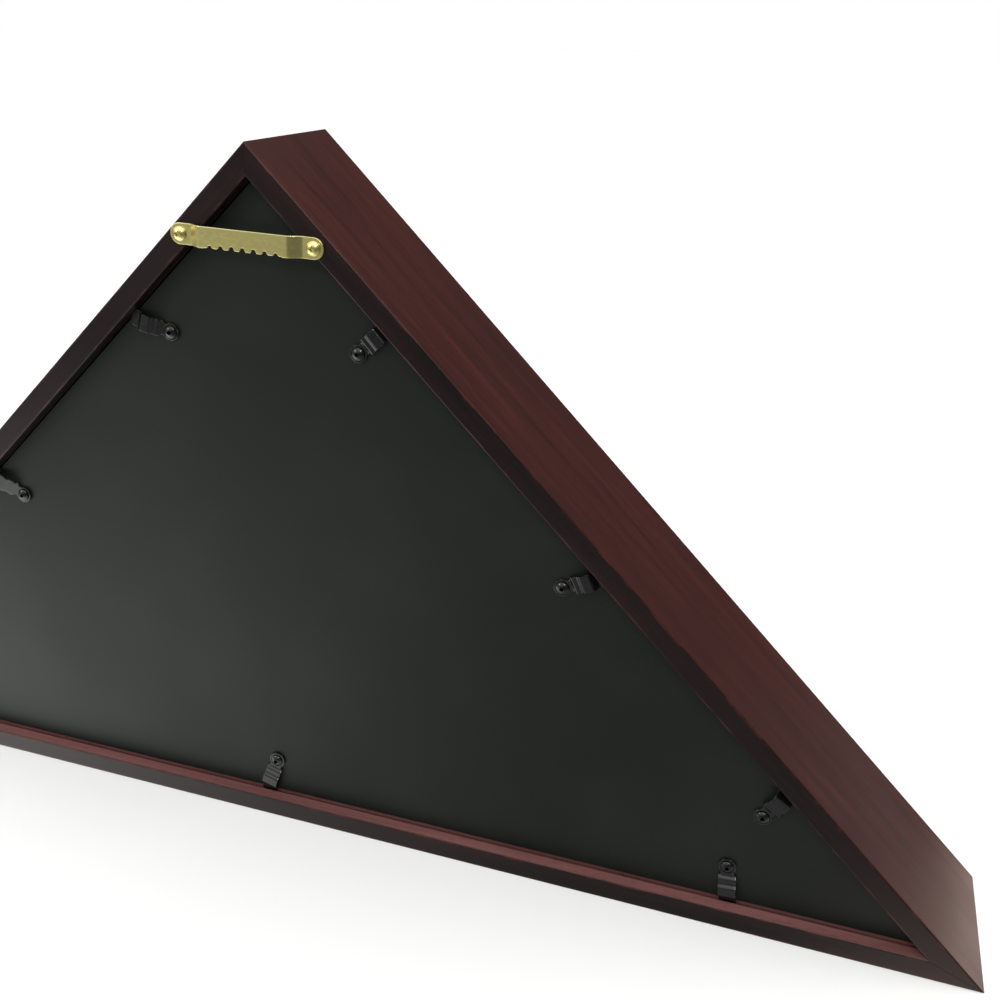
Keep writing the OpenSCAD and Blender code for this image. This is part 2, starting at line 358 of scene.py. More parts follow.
def cells(tree: bpy.types.NodeTree, place: bpy.types.Node, size: Sequence[float],
          detail: float = 3.0, roughness: float = 0.55, offset: float = 0.0) -> bpy.types.Node:
    """Adds soft noise whose blotches have a real size.

    Args:
        tree: The material's tree.
        place: The place on the piece, in millimetres.
        size: The blotches' size in millimetres along the piece's X, Y and Z.
        detail: How many finer layers it has.
        roughness: How strong those layers are.
        offset: A shift that makes one noise differ from another.

    Returns:
        The noise node, whose value runs from 0 to 1 about 0.5.
    """
    stretched = add_node(tree, "ShaderNodeMapping", {
        "Vector": place,
        "Location": (offset, offset * 2, offset * 3),
        "Scale": tuple(1 / s for s in size),
    })
    return add_node(tree, "ShaderNodeTexNoise", {
        "Vector": stretched, "Scale": 1.0, "Detail": detail, "Roughness": roughness,
    })


def tint(tree: bpy.types.NodeTree, value: object, band: Point2, first: object, second: object,
         shares: Point2 = (0.0, 1.0)) -> bpy.types.Node:
    """Adds a pattern that goes from one colour to another as a value rises.

    Args:
        tree: The material's tree.
        value: The node or socket that gives the value.
        band: The values between which the colour changes.
        first: The colour below the band, or the node that gives it.
        second: The colour above it.
        shares: How much of the second colour shows at the band's two ends.

    Returns:
        The node that gives the colour.
    """
    share = add_node(tree, "ShaderNodeMapRange", {
        "Value": value, "From Min": band[0], "From Max": band[1],
        "To Min": shares[0], "To Max": shares[1],
    }, interpolation_type="SMOOTHSTEP")
    return add_node(tree, "ShaderNodeMix", {"Factor": share, "A": first, "B": second},
                    data_type="RGBA")


@dataclass(frozen=True)
class LacqueredMahogany(Finish):
    """Close-grained wood, spray-stained mahogany and sealed with satin lacquer.

    It gives the eye a deep red brown with faint dark fibres along the rail, a cloudier
    band here and there, fine pores under a smooth film, and arrises rubbed a little redder.
    The base rail's inner wall is painted a paler red: painted light, where that wall faces up to the lamps.
    The rails' back faces are painted nearly black, and the sloped rails' inner walls are painted as shade too. Two
    point attributes mark these places.
    """

    name: str = "satin_lacquered_mahogany"
    dark: str = "2b1412"
    deep: str = "40201c"
    warm: str = "5b2a24"
    rubbed: str = "6e3630"
    # Paler red painted on the base rail's inner wall as painted light, where that wall faces up to the lamps.
    thin: str = "875c59"
    # Near-black for every rail's back face, and painted shade on the sloped rails' inner walls.
    sooty: str = "110808"
    fibre: float = 0.7
    fibre_length: float = 26.0
    band: float = 7.0
    band_length: float = 95.0
    pore: float = 0.35
    pore_length: float = 4.5
    roughness: float = 0.36
    coat: float = 0.08

    def surface(self, tree: bpy.types.NodeTree, place: bpy.types.Node) -> Sockets:
        """Adds the fibres, bands, pores and rubbed arrises, the painted light on the base's inner wall, the dark
        back faces and the painted shade on the sloped inner walls.
        """
        fibres = cells(tree, place, (self.fibre_length, self.fibre, self.fibre), 4, 0.6)
        bands = cells(tree, place, (self.band_length, self.band, self.band), 3, 0.5, 31.0)
        clouds = cells(tree, place, (60, 45, 45), 2, 0.5, 57.0)
        pores = cells(tree, place, (self.pore_length, self.pore, self.pore), 1, 0.4, 83.0)
        figure = add_node(tree, "ShaderNodeMath", {0: fibres, 1: bands}, operation="ADD")
        wood = tint(tree, figure, (0.6, 1.4), linear(self.dark), linear(self.warm))
        wood = tint(tree, clouds, (0.35, 0.7), wood, linear(self.deep), (0.35, 0.75))
        # Painted light: the base rail's upward-facing inner wall is mixed towards the paler red.
        marks = add_node(tree, "ShaderNodeAttribute", attribute_name="thin")
        share = add_node(tree, "ShaderNodeMapRange", {
            "Value": figure, "From Min": 0.6, "From Max": 1.4, "To Min": 0.55, "To Max": 0.95,
        }, interpolation_type="SMOOTHSTEP")
        inside = add_node(tree, "ShaderNodeMath", {0: marks.outputs["Fac"], 1: share},
                          operation="MULTIPLY")
        wood = add_node(tree, "ShaderNodeMix", {
            "Factor": inside, "A": wood, "B": linear(self.thin),
        }, data_type="RGBA")
        # Every back face is darkened, and the sloped rails' inner walls get painted shade.
        marks = add_node(tree, "ShaderNodeAttribute", attribute_name="sooty")
        share = add_node(tree, "ShaderNodeMapRange", {
            "Value": figure, "From Min": 0.6, "From Max": 1.4, "To Min": 1.0, "To Max": 0.84,
        }, interpolation_type="SMOOTHSTEP")
        dark_back_and_shade_share = add_node(tree, "ShaderNodeMath", {0: marks.outputs["Fac"], 1: share},
                        operation="MULTIPLY")
        wood = add_node(tree, "ShaderNodeMix", {
            "Factor": dark_back_and_shade_share, "A": wood, "B": linear(self.sooty),
        }, data_type="RGBA")
        pits = add_node(tree, "ShaderNodeMapRange", {
            "Value": pores, "From Min": 0.60, "From Max": 0.74, "To Min": 0.0, "To Max": 1.0,
        }, interpolation_type="SMOOTHSTEP")
        shade = add_node(tree, "ShaderNodeMath", {0: pits, 1: 0.5}, operation="MULTIPLY")
        wood = add_node(tree, "ShaderNodeMix", {
            "Factor": shade, "A": wood, "B": linear(self.dark),
        }, data_type="RGBA")
        worn = add_node(tree, "ShaderNodeAttribute", attribute_name="arris")
        patches = add_node(tree, "ShaderNodeMapRange", {
            "Value": cells(tree, place, (9, 3, 3), 3, 0.6, 11.0), "From Min": 0.4, "From Max": 0.68,
            "To Min": 0.0, "To Max": 1.0,
        }, interpolation_type="SMOOTHSTEP")
        rubbed = add_node(tree, "ShaderNodeMath", {0: worn.outputs["Fac"], 1: patches},
                          operation="MULTIPLY")
        wood = tint(tree, rubbed, (0.1, 1.0), wood, linear(self.rubbed), (0.0, 0.2))
        film = cells(tree, place, (1.6, 1.6, 1.6), 2, 0.5, 5.0)
        gloss = add_node(tree, "ShaderNodeMapRange", {
            "Value": clouds, "From Min": 0.3, "From Max": 0.7,
            "To Min": self.roughness - 0.05, "To Max": self.roughness + 0.05,
        }, interpolation_type="SMOOTHSTEP")
        relief = add_node(tree, "ShaderNodeMath", {0: pits, 1: -0.5, 2: film},
                          operation="MULTIPLY_ADD")
        bump = add_node(tree, "ShaderNodeBump", {
            "Strength": 0.2, "Distance": 0.05 * MM, "Height": relief,
        })
        return {
            "Base Color": wood, "Roughness": gloss, "Normal": bump,
            "Coat Weight": self.coat, "Coat Roughness": 0.22, "Specular IOR Level": 0.22,
        }


@dataclass(frozen=True)
class PaintedBoard(Finish):
    """Fibreboard sprayed satin black, with the roller's and the press's faint texture.

    It gives the eye an even grey black, a little greenish, with fine stipple and soft
    cloudy changes of sheen.
    """

    name: str = "black_painted_fibreboard"
    black: str = "151915"
    dusty: str = "1b1f1b"
    stipple: float = 0.9
    roughness: float = 0.46

    def surface(self, tree: bpy.types.NodeTree, place: bpy.types.Node) -> Sockets:
        """Adds the stipple, the clouds and a few pressed-in fibres."""
        clouds = cells(tree, place, (85, 85, 85), 3, 0.5)
        dots = cells(tree, place, (self.stipple,) * 3, 2, 0.6, 17.0)
        fibres = cells(tree, place, (6, 0.8, 0.8), 2, 0.5, 41.0)
        paint = tint(tree, clouds, (0.35, 0.7), linear(self.black), linear(self.dusty))
        paint = tint(tree, fibres, (0.62, 0.8), paint, linear("262a26"), (0.0, 0.2))
        relief = add_node(tree, "ShaderNodeMath", {0: dots, 1: fibres}, operation="ADD")
        bump = add_node(tree, "ShaderNodeBump", {
            "Strength": 0.3, "Distance": 0.06 * MM, "Height": relief,
        })
        gloss = add_node(tree, "ShaderNodeMapRange", {
            "Value": clouds, "From Min": 0.3, "From Max": 0.7,
            "To Min": self.roughness + 0.02, "To Max": self.roughness - 0.02,
        }, interpolation_type="SMOOTHSTEP")
        return {
            "Base Color": paint, "Roughness": gloss, "Normal": bump, "Specular IOR Level": 0.22,
        }


@dataclass(frozen=True)
class BlackedSteel(Finish):
    """Pressed steel, dipped in semi-gloss black enamel.

    It gives the eye a glossy black with bright edges where the enamel is thin, and hair
    scratches from turning.
    """

    name: str = "black_enamelled_steel"
    enamel: str = "0a0b0b"
    # The paler grey shown where the enamel is worn at the rims.
    thin: str = "4a4a46"
    roughness: float = 0.2

    def surface(self, tree: bpy.types.NodeTree, place: bpy.types.Node) -> Sockets:
        """Adds the thin rims, the scratches and the enamel's orange peel."""
        rim = add_node(tree, "ShaderNodeAttribute", attribute_name="rim")
        chips = add_node(tree, "ShaderNodeMapRange", {
            "Value": cells(tree, place, (1.4, 1.4, 1.4), 3, 0.6, 3.0),
            "From Min": 0.42, "From Max": 0.62,
            "To Min": 0.0, "To Max": 1.0,
        }, interpolation_type="SMOOTHSTEP")
        bare = add_node(tree, "ShaderNodeMath", {0: rim.outputs["Fac"], 1: chips},
                        operation="MULTIPLY")
        scratches = cells(tree, place, (5, 0.16, 0.16), 2, 0.5, 23.0)
        marks = add_node(tree, "ShaderNodeMapRange", {
            "Value": scratches, "From Min": 0.66, "From Max": 0.78, "To Min": 0.0, "To Max": 0.35,
        }, interpolation_type="SMOOTHSTEP")
        paint = add_node(tree, "ShaderNodeMix", {
            "Factor": marks, "A": linear(self.enamel), "B": linear("222222"),
        }, data_type="RGBA")
        paint = tint(tree, bare, (0.3, 1.0), paint, linear(self.thin), (0.0, 0.7))
        peel = cells(tree, place, (0.8, 0.8, 0.8), 2, 0.5, 7.0)
        bump = add_node(tree, "ShaderNodeBump", {
            "Strength": 0.15, "Distance": 0.05 * MM, "Height": peel,
        })
        gloss = add_node(tree, "ShaderNodeMapRange", {
            "Value": scratches, "From Min": 0.4, "From Max": 0.75,
            "To Min": self.roughness, "To Max": self.roughness + 0.18,
        }, interpolation_type="SMOOTHSTEP")
        return {
            "Base Color": paint, "Roughness": gloss, "Normal": bump, "Specular IOR Level": 0.45,
            "Coat Weight": 0.25, "Coat Roughness": 0.12,
        }


@dataclass(frozen=True)
class BrassPlate(Finish):
    """Steel strip with a bright brass plating, stamped and tumbled.

    It gives the eye a greenish yellow metal, brighter along worn rims, with fine drawn
    lines and duller breathed-on patches.
    """

    name: str = "brass_plated_strip"
    bright: str = "f5ebac"
    plain: str = "e2d68c"
    dull: str = "bdae69"
    roughness: float = 0.34

    def surface(self, tree: bpy.types.NodeTree, place: bpy.types.Node) -> Sockets:
        """Adds the drawn lines, the tarnish and the bright rims."""
        lines = cells(tree, place, (14, 0.22, 0.22), 3, 0.6)
        tarnish = cells(tree, place, (2.5, 1.6, 1.6), 4, 0.6, 29.0)
        rim = add_node(tree, "ShaderNodeAttribute", attribute_name="rim")
        plate = tint(tree, tarnish, (0.35, 0.8),
                     linear(self.plain), linear(self.dull), (0.0, 0.55))
        plate = tint(tree, lines, (0.4, 0.75), plate, linear(self.bright), (0.0, 0.5))
        plate = tint(tree, rim.outputs["Fac"], (0.2, 1.0), plate, linear(self.bright), (0.0, 0.7))
        gloss = add_node(tree, "ShaderNodeMapRange", {
            "Value": tarnish, "From Min": 0.3, "From Max": 0.75,
            "To Min": self.roughness - 0.05, "To Max": self.roughness + 0.08,
        }, interpolation_type="SMOOTHSTEP")
        bump = add_node(tree, "ShaderNodeBump", {
            "Strength": 0.2, "Distance": 0.04 * MM, "Height": lines,
        })
        return {"Base Color": plate, "Roughness": gloss, "Normal": bump, "Metallic": 1.0}


@dataclass(frozen=True)
class DrawnSteel(Finish):
    """Bright drawn wire, as small brads are cut from.

    It gives the eye small cold points of light with ring marks on the heads.
    """

    name: str = "bright_drawn_steel"
    steel: str = "a9abad"
    oiled: str = "6f7174"

    def surface(self, tree: bpy.types.NodeTree, place: bpy.types.Node) -> Sockets:
        """Adds the draw marks and a film of oil."""
        oil = cells(tree, place, (1.2, 1.2, 1.2), 2, 0.5)
        metal = tint(tree, oil, (0.4, 0.65), linear(self.steel), linear(self.oiled))
        lines = cells(tree, place, (3, 0.15, 0.15), 1, 0.5, 13.0)
        bump = add_node(tree, "ShaderNodeBump", {
            "Strength": 0.2, "Distance": 0.03 * MM, "Height": lines,
        })
        return {
            "Base Color": metal, "Metallic": 1.0, "Normal": bump,
            "Roughness": add_node(tree, "ShaderNodeMapRange", {
                "Value": oil, "From Min": 0.3, "From Max": 0.7, "To Min": 0.24, "To Max": 0.42,
            }, interpolation_type="SMOOTHSTEP"),
        }


@dataclass(frozen=True)
class FloatGlass(Finish):
    """Thin float glass, faintly green, with polished faces and a wiping mark or two."""

    name: str = "clear_float_glass"
    tint: str = "f2faf6"

    def surface(self, tree: bpy.types.NodeTree, place: bpy.types.Node) -> Sockets:
        """Adds the smears that only change the gloss."""
        smears = cells(tree, place, (70, 9, 22), 3, 0.5)
        return {
            "Base Color": linear(self.tint), "Transmission Weight": 1.0, "IOR": 1.5,
            "Roughness": add_node(tree, "ShaderNodeMapRange", {
                "Value": smears, "From Min": 0.55, "From Max": 0.8, "To Min": 0.0, "To Max": 0.025,
            }, interpolation_type="SMOOTHSTEP"),
        }


@dataclass(frozen=True)
class WoolFelt(Finish):
    """Black pressed felt, whose fibres catch the light at a slant.

    It gives the eye a soft deep black with a matted, slightly cloudy nap.
    """

    name: str = "black_pressed_felt"
    black: str = "060607"
    lint: str = "19191b"
    fibre: float = 0.45

    def surface(self, tree: bpy.types.NodeTree, place: bpy.types.Node) -> Sockets:
        """Adds the matted fibres; they are drawn at twice their real width, to show."""
        matted = cells(tree, place, (self.fibre * 4, self.fibre, self.fibre), 4, 0.7)
        across = cells(tree, place, (self.fibre, self.fibre, self.fibre * 4), 4, 0.7, 19.0)
        nap = add_node(tree, "ShaderNodeMath", {0: matted, 1: across}, operation="ADD")
        clouds = cells(tree, place, (35, 35, 35), 2, 0.5, 9.0)
        wool = tint(tree, nap, (0.75, 1.35), linear(self.black), linear(self.lint))
        wool = tint(tree, clouds, (0.4, 0.7), wool, linear(self.black), (0.0, 0.4))
        bump = add_node(tree, "ShaderNodeBump", {
            "Strength": 0.12, "Distance": 0.06 * MM, "Height": nap,
        })
        return {
            "Base Color": wool, "Roughness": add_node(tree, "ShaderNodeMapRange", {
                "Value": nap, "From Min": 0.7, "From Max": 1.3, "To Min": 1.0, "To Max": 0.85,
            }, interpolation_type="SMOOTHSTEP"),
            "Normal": bump, "Sheen Weight": 0.06, "Sheen Roughness": 0.4,
            "Specular IOR Level": 0.02,
        }


@dataclass(frozen=True)
class SplineBirch(Finish):
    """Pale unstained birch, sawn thin, with the saw's fine ridges."""

    name: str = "sawn_birch"
    pale: str = "cfae80"
    late: str = "a98457"

    def surface(self, tree: bpy.types.NodeTree, place: bpy.types.Node) -> Sockets:
        """Adds the growth lines and the saw marks."""
        growth = cells(tree, place, (0.8, 18, 0.8), 3, 0.6)
        wood = tint(tree, growth, (0.35, 0.7), linear(self.pale), linear(self.late))
        bump = add_node(tree, "ShaderNodeBump", {
            "Strength": 0.4, "Distance": 0.1 * MM, "Height": growth,
        })
        return {
            "Base Color": wood, "Normal": bump,
            "Roughness": add_node(tree, "ShaderNodeMapRange", {
                "Value": growth, "From Min": 0.3, "From Max": 0.7, "To Min": 0.6, "To Max": 0.75,
            }, interpolation_type="SMOOTHSTEP"),
        }


@dataclass(frozen=True)
class StudioPaper(Finish):
    """A seamless paper sweep on a light table, whose slight glow thins the shadows."""

    name: str = "seamless_paper"
    white: str = "f4f4f3"
    glow: float = 0.14

    def surface(self, tree: bpy.types.NodeTree, place: bpy.types.Node) -> Sockets:
        """Adds the paper's slight unevenness."""
        fibres = cells(tree, place, (3, 3, 3), 2, 0.5)
        bump = add_node(tree, "ShaderNodeBump", {
            "Strength": 0.05, "Distance": 0.05 * MM, "Height": fibres,
        })
        return {
            "Base Color": linear(self.white), "Roughness": 0.9, "Normal": bump,
            "Specular IOR Level": 0.1, "Emission Color": linear(self.white),
            "Emission Strength": self.glow,
        }


# ------------------------------------------------------------------ geometry tools


class MeshTool:
    """A Geometry Nodes tree with named inputs, which leaves plain meshes behind."""

    def __init__(self, name: str, inputs: dict[str, str]) -> None:
        """Starts the tree.

        Args:
            name: The tree's name.
            inputs: Each input's name and socket type, besides the geometry.
        """
        self.tree = bpy.data.node_groups.new(name, "GeometryNodeTree")
        kinds = {"Geometry": "NodeSocketGeometry", **inputs, "Material": "NodeSocketMaterial"}
        for label, kind in kinds.items():
            self.tree.interface.new_socket(label, in_out="INPUT", socket_type=kind)
        self.tree.interface.new_socket(
            "Geometry", in_out="OUTPUT", socket_type="NodeSocketGeometry")
        self.entry = add_node(self.tree, "NodeGroupInput").outputs
        shape = add_node(self.tree, "GeometryNodeRealizeInstances", {"Geometry": self.shape()})
        dressed = add_node(self.tree, "GeometryNodeSetMaterial", {
            "Geometry": shape, "Material": self.entry["Material"],
        })
        add_node(self.tree, "NodeGroupOutput", {"Geometry": dressed})

    def shape(self) -> bpy.types.Node:
        """Adds the nodes between the tree's inputs and its end, and returns the last one."""
        raise NotImplementedError

    def make(self, name: str, host: bpy.types.Mesh, **values: object) -> bpy.types.Object:
        """Runs the tree on a mesh and keeps the result as a plain mesh.

        Args:
            name: The new piece's name.
            host: The mesh that goes in.
            **values: The inputs by name, with _ for a space.

        Returns:
            The piece, at the origin.
        """
        holder = link(name + "_host", host)
        modifier = holder.modifiers.new("shape", "NODES")
        modifier.node_group = self.tree
        wanted = {key.replace("_", " "): value for key, value in values.items()}
        for item in self.tree.interface.items_tree:
            if item.in_out == "INPUT" and item.name in wanted:
                modifier[item.identifier] = wanted.pop(item.name)
        if wanted:
            raise ValueError(f"{self.tree.name} has no input {sorted(wanted)}")
        graph = bpy.context.evaluated_depsgraph_get()
        mesh = bpy.data.meshes.new_from_object(holder.evaluated_get(graph))
        mesh.name = name
        mesh.materials.clear()
        mesh.materials.append(values["Material"])
        mesh.polygons.foreach_set("material_index", [0] * len(mesh.polygons))
        bpy.data.objects.remove(holder)
        return link(name, mesh)


class MitredBarTool(MeshTool):
    """Runs a section along one side of the case and cuts both ends to the mitres.

    The host is one face: X is the distance inwards, Y the depth, and Z is 0.
    """

    def __init__(self) -> None:
        """Builds the tree."""
        number = "NodeSocketFloat"
        super().__init__("mitred_bar", {
            "Length": number, "Start Slant": number, "End Slant": number, "Turn": number,
            "Corner": "NodeSocketVector",
        })

    def shape(self) -> bpy.types.Node:
        """Extrudes the section by one unit, closes it, and moves each end to its mitre."""
        tree, entry = self.tree, self.entry
        bar = add_node(tree, "GeometryNodeExtrudeMesh", {
            "Mesh": entry["Geometry"], "Offset": (0, 0, 1), "Offset Scale": 1.0,
            "Individual": False,
        })
        cap = add_node(tree, "GeometryNodeFlipFaces", {"Mesh": entry["Geometry"]})
        joined = add_node(tree, "GeometryNodeJoinGeometry", {"Geometry": cap})
        tree.links.new(bar.outputs["Mesh"], joined.inputs["Geometry"])
        closed = add_node(tree, "GeometryNodeMergeByDistance", {
            "Geometry": joined, "Distance": 0.001 * MM,
        })
        part = add_node(tree, "ShaderNodeSeparateXYZ", {
            "Vector": add_node(tree, "GeometryNodeInputPosition"),
        }).outputs
        start = add_node(tree, "ShaderNodeMath", {0: part["X"], 1: entry["Start Slant"]},
                         operation="MULTIPLY")
        cut = add_node(tree, "ShaderNodeMath", {0: part["X"], 1: entry["End Slant"]},
                       operation="MULTIPLY")
        end = add_node(tree, "ShaderNodeMath", {0: entry["Length"], 1: cut}, operation="SUBTRACT")
        along = add_node(tree, "ShaderNodeMix", {"Factor": part["Z"], "A": start, "B": end},
                         data_type="FLOAT")
        laid = add_node(tree, "ShaderNodeCombineXYZ", {"X": along, "Y": part["Y"], "Z": part["X"]})
        back = add_node(tree, "ShaderNodeMath", {0: entry["Turn"], 1: -1.0}, operation="MULTIPLY")
        turned = add_node(tree, "ShaderNodeVectorRotate", {"Vector": laid, "Angle": back},
                          rotation_type="Y_AXIS")
        placed = add_node(tree, "ShaderNodeVectorMath", {0: turned, 1: entry["Corner"]},
                          operation="ADD")
        return add_node(tree, "GeometryNodeSetPosition", {"Geometry": closed, "Position": placed})


class PlaceTool(MeshTool):
    """Turns a pressing about +Y and takes it to its seat."""

    def __init__(self) -> None:
        """Builds the tree."""
        super().__init__("placed_pressing", {
            "Turn": "NodeSocketFloat", "Seat": "NodeSocketVector",
        })

    def shape(self) -> bpy.types.Node:
        """Turns from +X towards +Z, then moves."""
        back = add_node(self.tree, "ShaderNodeMath", {0: self.entry["Turn"], 1: -1.0},
                        operation="MULTIPLY")
        turn = add_node(self.tree, "ShaderNodeCombineXYZ", {"Y": back})
        return add_node(self.tree, "GeometryNodeTransform", {
            "Geometry": self.entry["Geometry"], "Translation": self.entry["Seat"],
            "Rotation": turn,
        })


class ScatterTool(MeshTool):
    """Sets one part at every vertex of its host.

    The host's vertices carry the vector attribute "facing", an Euler rotation for the
    part, which is turned about its own +Y by a seeded amount first.
    """

    def __init__(self) -> None:
        """Builds the tree."""
        super().__init__("hardware_on_points", {
            "Part": "NodeSocketObject", "Spin": "NodeSocketFloat", "Seed": "NodeSocketInt",
        })

    def shape(self) -> bpy.types.Node:
        """Instances the part on the host's points."""
        tree, entry = self.tree, self.entry
        part = add_node(tree, "GeometryNodeObjectInfo", {"Object": entry["Part"]})
        facing = add_node(tree, "GeometryNodeInputNamedAttribute", {"Name": "facing"},
                          data_type="FLOAT_VECTOR")
        spin = add_node(tree, "FunctionNodeRandomValue", {
            "Min": 0.0, "Max": entry["Spin"], "Seed": entry["Seed"],
        }, data_type="FLOAT")
        about = add_node(tree, "ShaderNodeCombineXYZ", {"Y": spin})
        turned = add_node(tree, "FunctionNodeRotateRotation", {
            "Rotation": add_node(tree, "FunctionNodeEulerToRotation", {"Euler": facing}),
            "Rotate By": add_node(tree, "FunctionNodeEulerToRotation", {"Euler": about}),
        }, rotation_space="LOCAL")
        return add_node(tree, "GeometryNodeInstanceOnPoints", {
            "Points": entry["Geometry"], "Instance": part.outputs["Geometry"],
            "Rotation": turned,
        })

    def scatter(self, name: str, part: bpy.types.Mesh, seats: Iterable[tuple[Vector, Vector]],
                **values: object) -> bpy.types.Object:
        """Sets a part at each seat.

        Args:
            name: The new piece's name.
            part: The part's mesh, which points along +Y.
            seats: Each seat's place in millimetres, and the Euler rotation there.
            **values: The tree's other inputs.

        Returns:
            The piece.
        """
        seats = list(seats)
        host = bpy.data.meshes.new(name + "_seats")
        host.from_pydata([seat * MM for seat, _ in seats], [], [])
        facing = host.attributes.new("facing", "FLOAT_VECTOR", "POINT")
        facing.data.foreach_set("vector", [v for _, turn in seats for v in turn])
        pattern = link(name + "_part", part)
        piece = self.make(name, host, Part=pattern, **values)
        bpy.data.objects.remove(pattern)
        return piece


@dataclass(frozen=True)
class Lathe:
    """Turns a profile about the +Y axis."""

    segments: int = 32

    def turn(self, profile: Sequence[Point2]) -> bmesh.types.BMesh:
        """Turns one closed profile.

        Args:
            profile: Radius and height of each point, in millimetres, from the axis at the
                bottom round to the axis at the top.

        Returns:
            The closed shape, in millimetres.
        """
        shape = bmesh.new()
        rings = []
        for radius, height in profile:
            if radius == 0:
                rings.append([shape.verts.new((0, height, 0))] * self.segments)
                continue
            angles = (math.tau * i / self.segments for i in range(self.segments))
            rings.append([
                shape.verts.new((radius * math.cos(a), height, radius * math.sin(a)))
                for a in angles
            ])
        for low, high in zip(rings, rings[1:]):
            for i in range(self.segments):
                j = (i + 1) % self.segments
                corners = dict.fromkeys((low[i], low[j], high[j], high[i]))
                shape.faces.new(corners)
        return shape

    @staticmethod
    def dome(width: float, base: float, height: float, until: float = 0.0,
             steps: int = 6) -> list[Point2]:
        """Returns the profile of a spherical cap.

        Args:
            width: The cap's diameter at its base.
            base: The height of that base.
            height: How far the cap rises.
            until: The radius at which the profile stops.
            steps: How many chords it has.

        Returns:
            The profile, from the rim inwards.
        """
        ball = (width * width / 4 + height * height) / (2 * height)
        first, last = math.asin(width / 2 / ball), math.asin(until / ball)
        angles = [first + (last - first) * i / steps for i in range(steps + 1)]
        return [(ball * math.sin(a), base + height - ball * (1 - math.cos(a))) for a in angles]


@dataclass(frozen=True)
class Pressing:
    """A blank punched from sheet metal and pressed to a bent profile.

    The blank lies on the X and Z plane and rises along +Y, in millimetres.
    """

    thickness: float
    edge: float = 0.14
    edge_steps: int = 2
    bend: float = 0.45
    cell: float = 1.0
    rim: float = 0.45

    def mesh(self, name: str, outline: Sequence[Point2], holes: Sequence[Sequence[Point2]],
             path: Sequence[Point2]) -> bpy.types.Mesh:
        """Makes the pressed piece.

        Args:
            name: The mesh's name.
            outline: The blank's outline, counter-clockwise in X and Z.
            holes: The outlines of its holes, clockwise.
            path: The pressed profile's points: place along X, and height.

        Returns:
            The mesh, in metres, with the point attribute "rim" along its edges.
        """
        shape = self._slab([list(outline), *[list(hole) for hole in holes]])
        self._slice(shape, outline, path)
        edges = [(Vector(a), Vector(b)) for loop in (outline, *holes)
                 for a, b in zip(loop, (*loop[1:], loop[0]))]
        near = [self._nearness(Vector((v.co.x, v.co.z)), edges) for v in shape.verts]
        for vertex in shape.verts:
            vertex.co.y += self._height(vertex.co.x, path)
        mesh = to_mesh(name, shape)
        mesh.attributes.new("rim", "FLOAT", "POINT").data.foreach_set("value", near)
        return mesh

    def _slab(self, loops: list[list[Point2]]) -> bmesh.types.BMesh:
        """Stands rounded walls on the blank's loops and fills both faces."""
        shape = bmesh.new()
        quarter = [math.pi / 2 * i / self.edge_steps for i in range(self.edge_steps + 1)]
        low = [(self.edge * (1 - math.sin(a)), self.edge * (1 - math.cos(a))) for a in quarter]
        rings = low + [(inset, self.thickness - y) for inset, y in reversed(low)]
        caps: list[list[bmesh.types.BMEdge]] = [[], []]
        for loop in loops:
            walls = [
                [shape.verts.new((x, y, z)) for x, z in self._inset(loop, inset)]
                for inset, y in rings
            ]
            for below, above in zip(walls, walls[1:]):
                for i in range(len(loop)):
                    j = (i + 1) % len(loop)
                    shape.faces.new((below[i], below[j], above[j], above[i]))
            for cap, wall in zip(caps, (walls[0], walls[-1])):
                cap += [shape.edges.get((a, b)) for a, b in zip(wall, (*wall[1:], wall[0]))]
        for cap in caps:
            bmesh.ops.triangle_fill(shape, use_beauty=True, edges=cap, normal=(0, 1, 0))
        return shape

    def _slice(self, shape: bmesh.types.BMesh, outline: Sequence[Point2],
               path: Sequence[Point2]) -> None:
        """Cuts the slab into a grid, with extra cuts where it will be bent."""
        bends = [x + self.bend * side for x, _ in path[1:-1] for side in (-1, -0.5, 0, 0.5, 1)]
        for axis, extra in ((0, bends), (1, [])):
            places = [p[axis] for p in outline]
            low, high = min(places), max(places)
            count = int((high - low) / self.cell)
            cuts = sorted([low + (high - low) * i / count for i in range(1, count)] + extra)
            spot, facing = Vector((0, 0, 0)), Vector((1, 0, 0) if axis == 0 else (0, 0, 1))
            for cut in cuts:
                spot[0 if axis == 0 else 2] = cut
                parts = [*shape.verts, *shape.edges, *shape.faces]
                bmesh.ops.bisect_plane(shape, geom=parts, dist=1e-5, plane_co=spot, plane_no=facing)

    def _nearness(self, place: Vector, edges: Sequence[tuple[Vector, Vector]]) -> float:
        """Returns 1 on the blank's edge, down to 0 at the rim's width inside it."""
        nearest = self.rim
        for a, b in edges:
            run = b - a
            share = max(0.0, min(1.0, (place - a).dot(run) / run.length_squared))
            nearest = min(nearest, (a + run * share - place).length)
        return 1 - nearest / self.rim

    def _height(self, x: float, path: Sequence[Point2]) -> float:
        """Returns the pressed height at a place along X, with rounded bends."""
        slopes = [(b[1] - a[1]) / (b[0] - a[0]) for a, b in zip(path, path[1:])]
        height = path[0][1]
        for (kink, _), before, after in zip(path[1:-1], slopes, slopes[1:]):
            past = x - kink
            if past >= self.bend:
                height += (after - before) * past
            elif past > -self.bend:
                height += (after - before) * (past + self.bend) ** 2 / (4 * self.bend)
        return height

    @staticmethod
    def _inset(loop: Sequence[Point2], distance: float) -> list[Point2]:
        """Moves a loop towards its left-hand side by a distance."""
        moved = []
        for i, here in enumerate(loop):
            before, after = Vector(loop[i - 1]), Vector(loop[(i + 1) % len(loop)])
            one, two = (Vector(here) - before).normalized(), (after - Vector(here)).normalized()
            left = Vector((-one.y - two.y, one.x + two.x))
            share = distance * 2 / max(left.length_squared, 0.6)
            moved.append((here[0] + left.x * share, here[1] + left.y * share))
        return moved


# ------------------------------------------------------------------ the rails


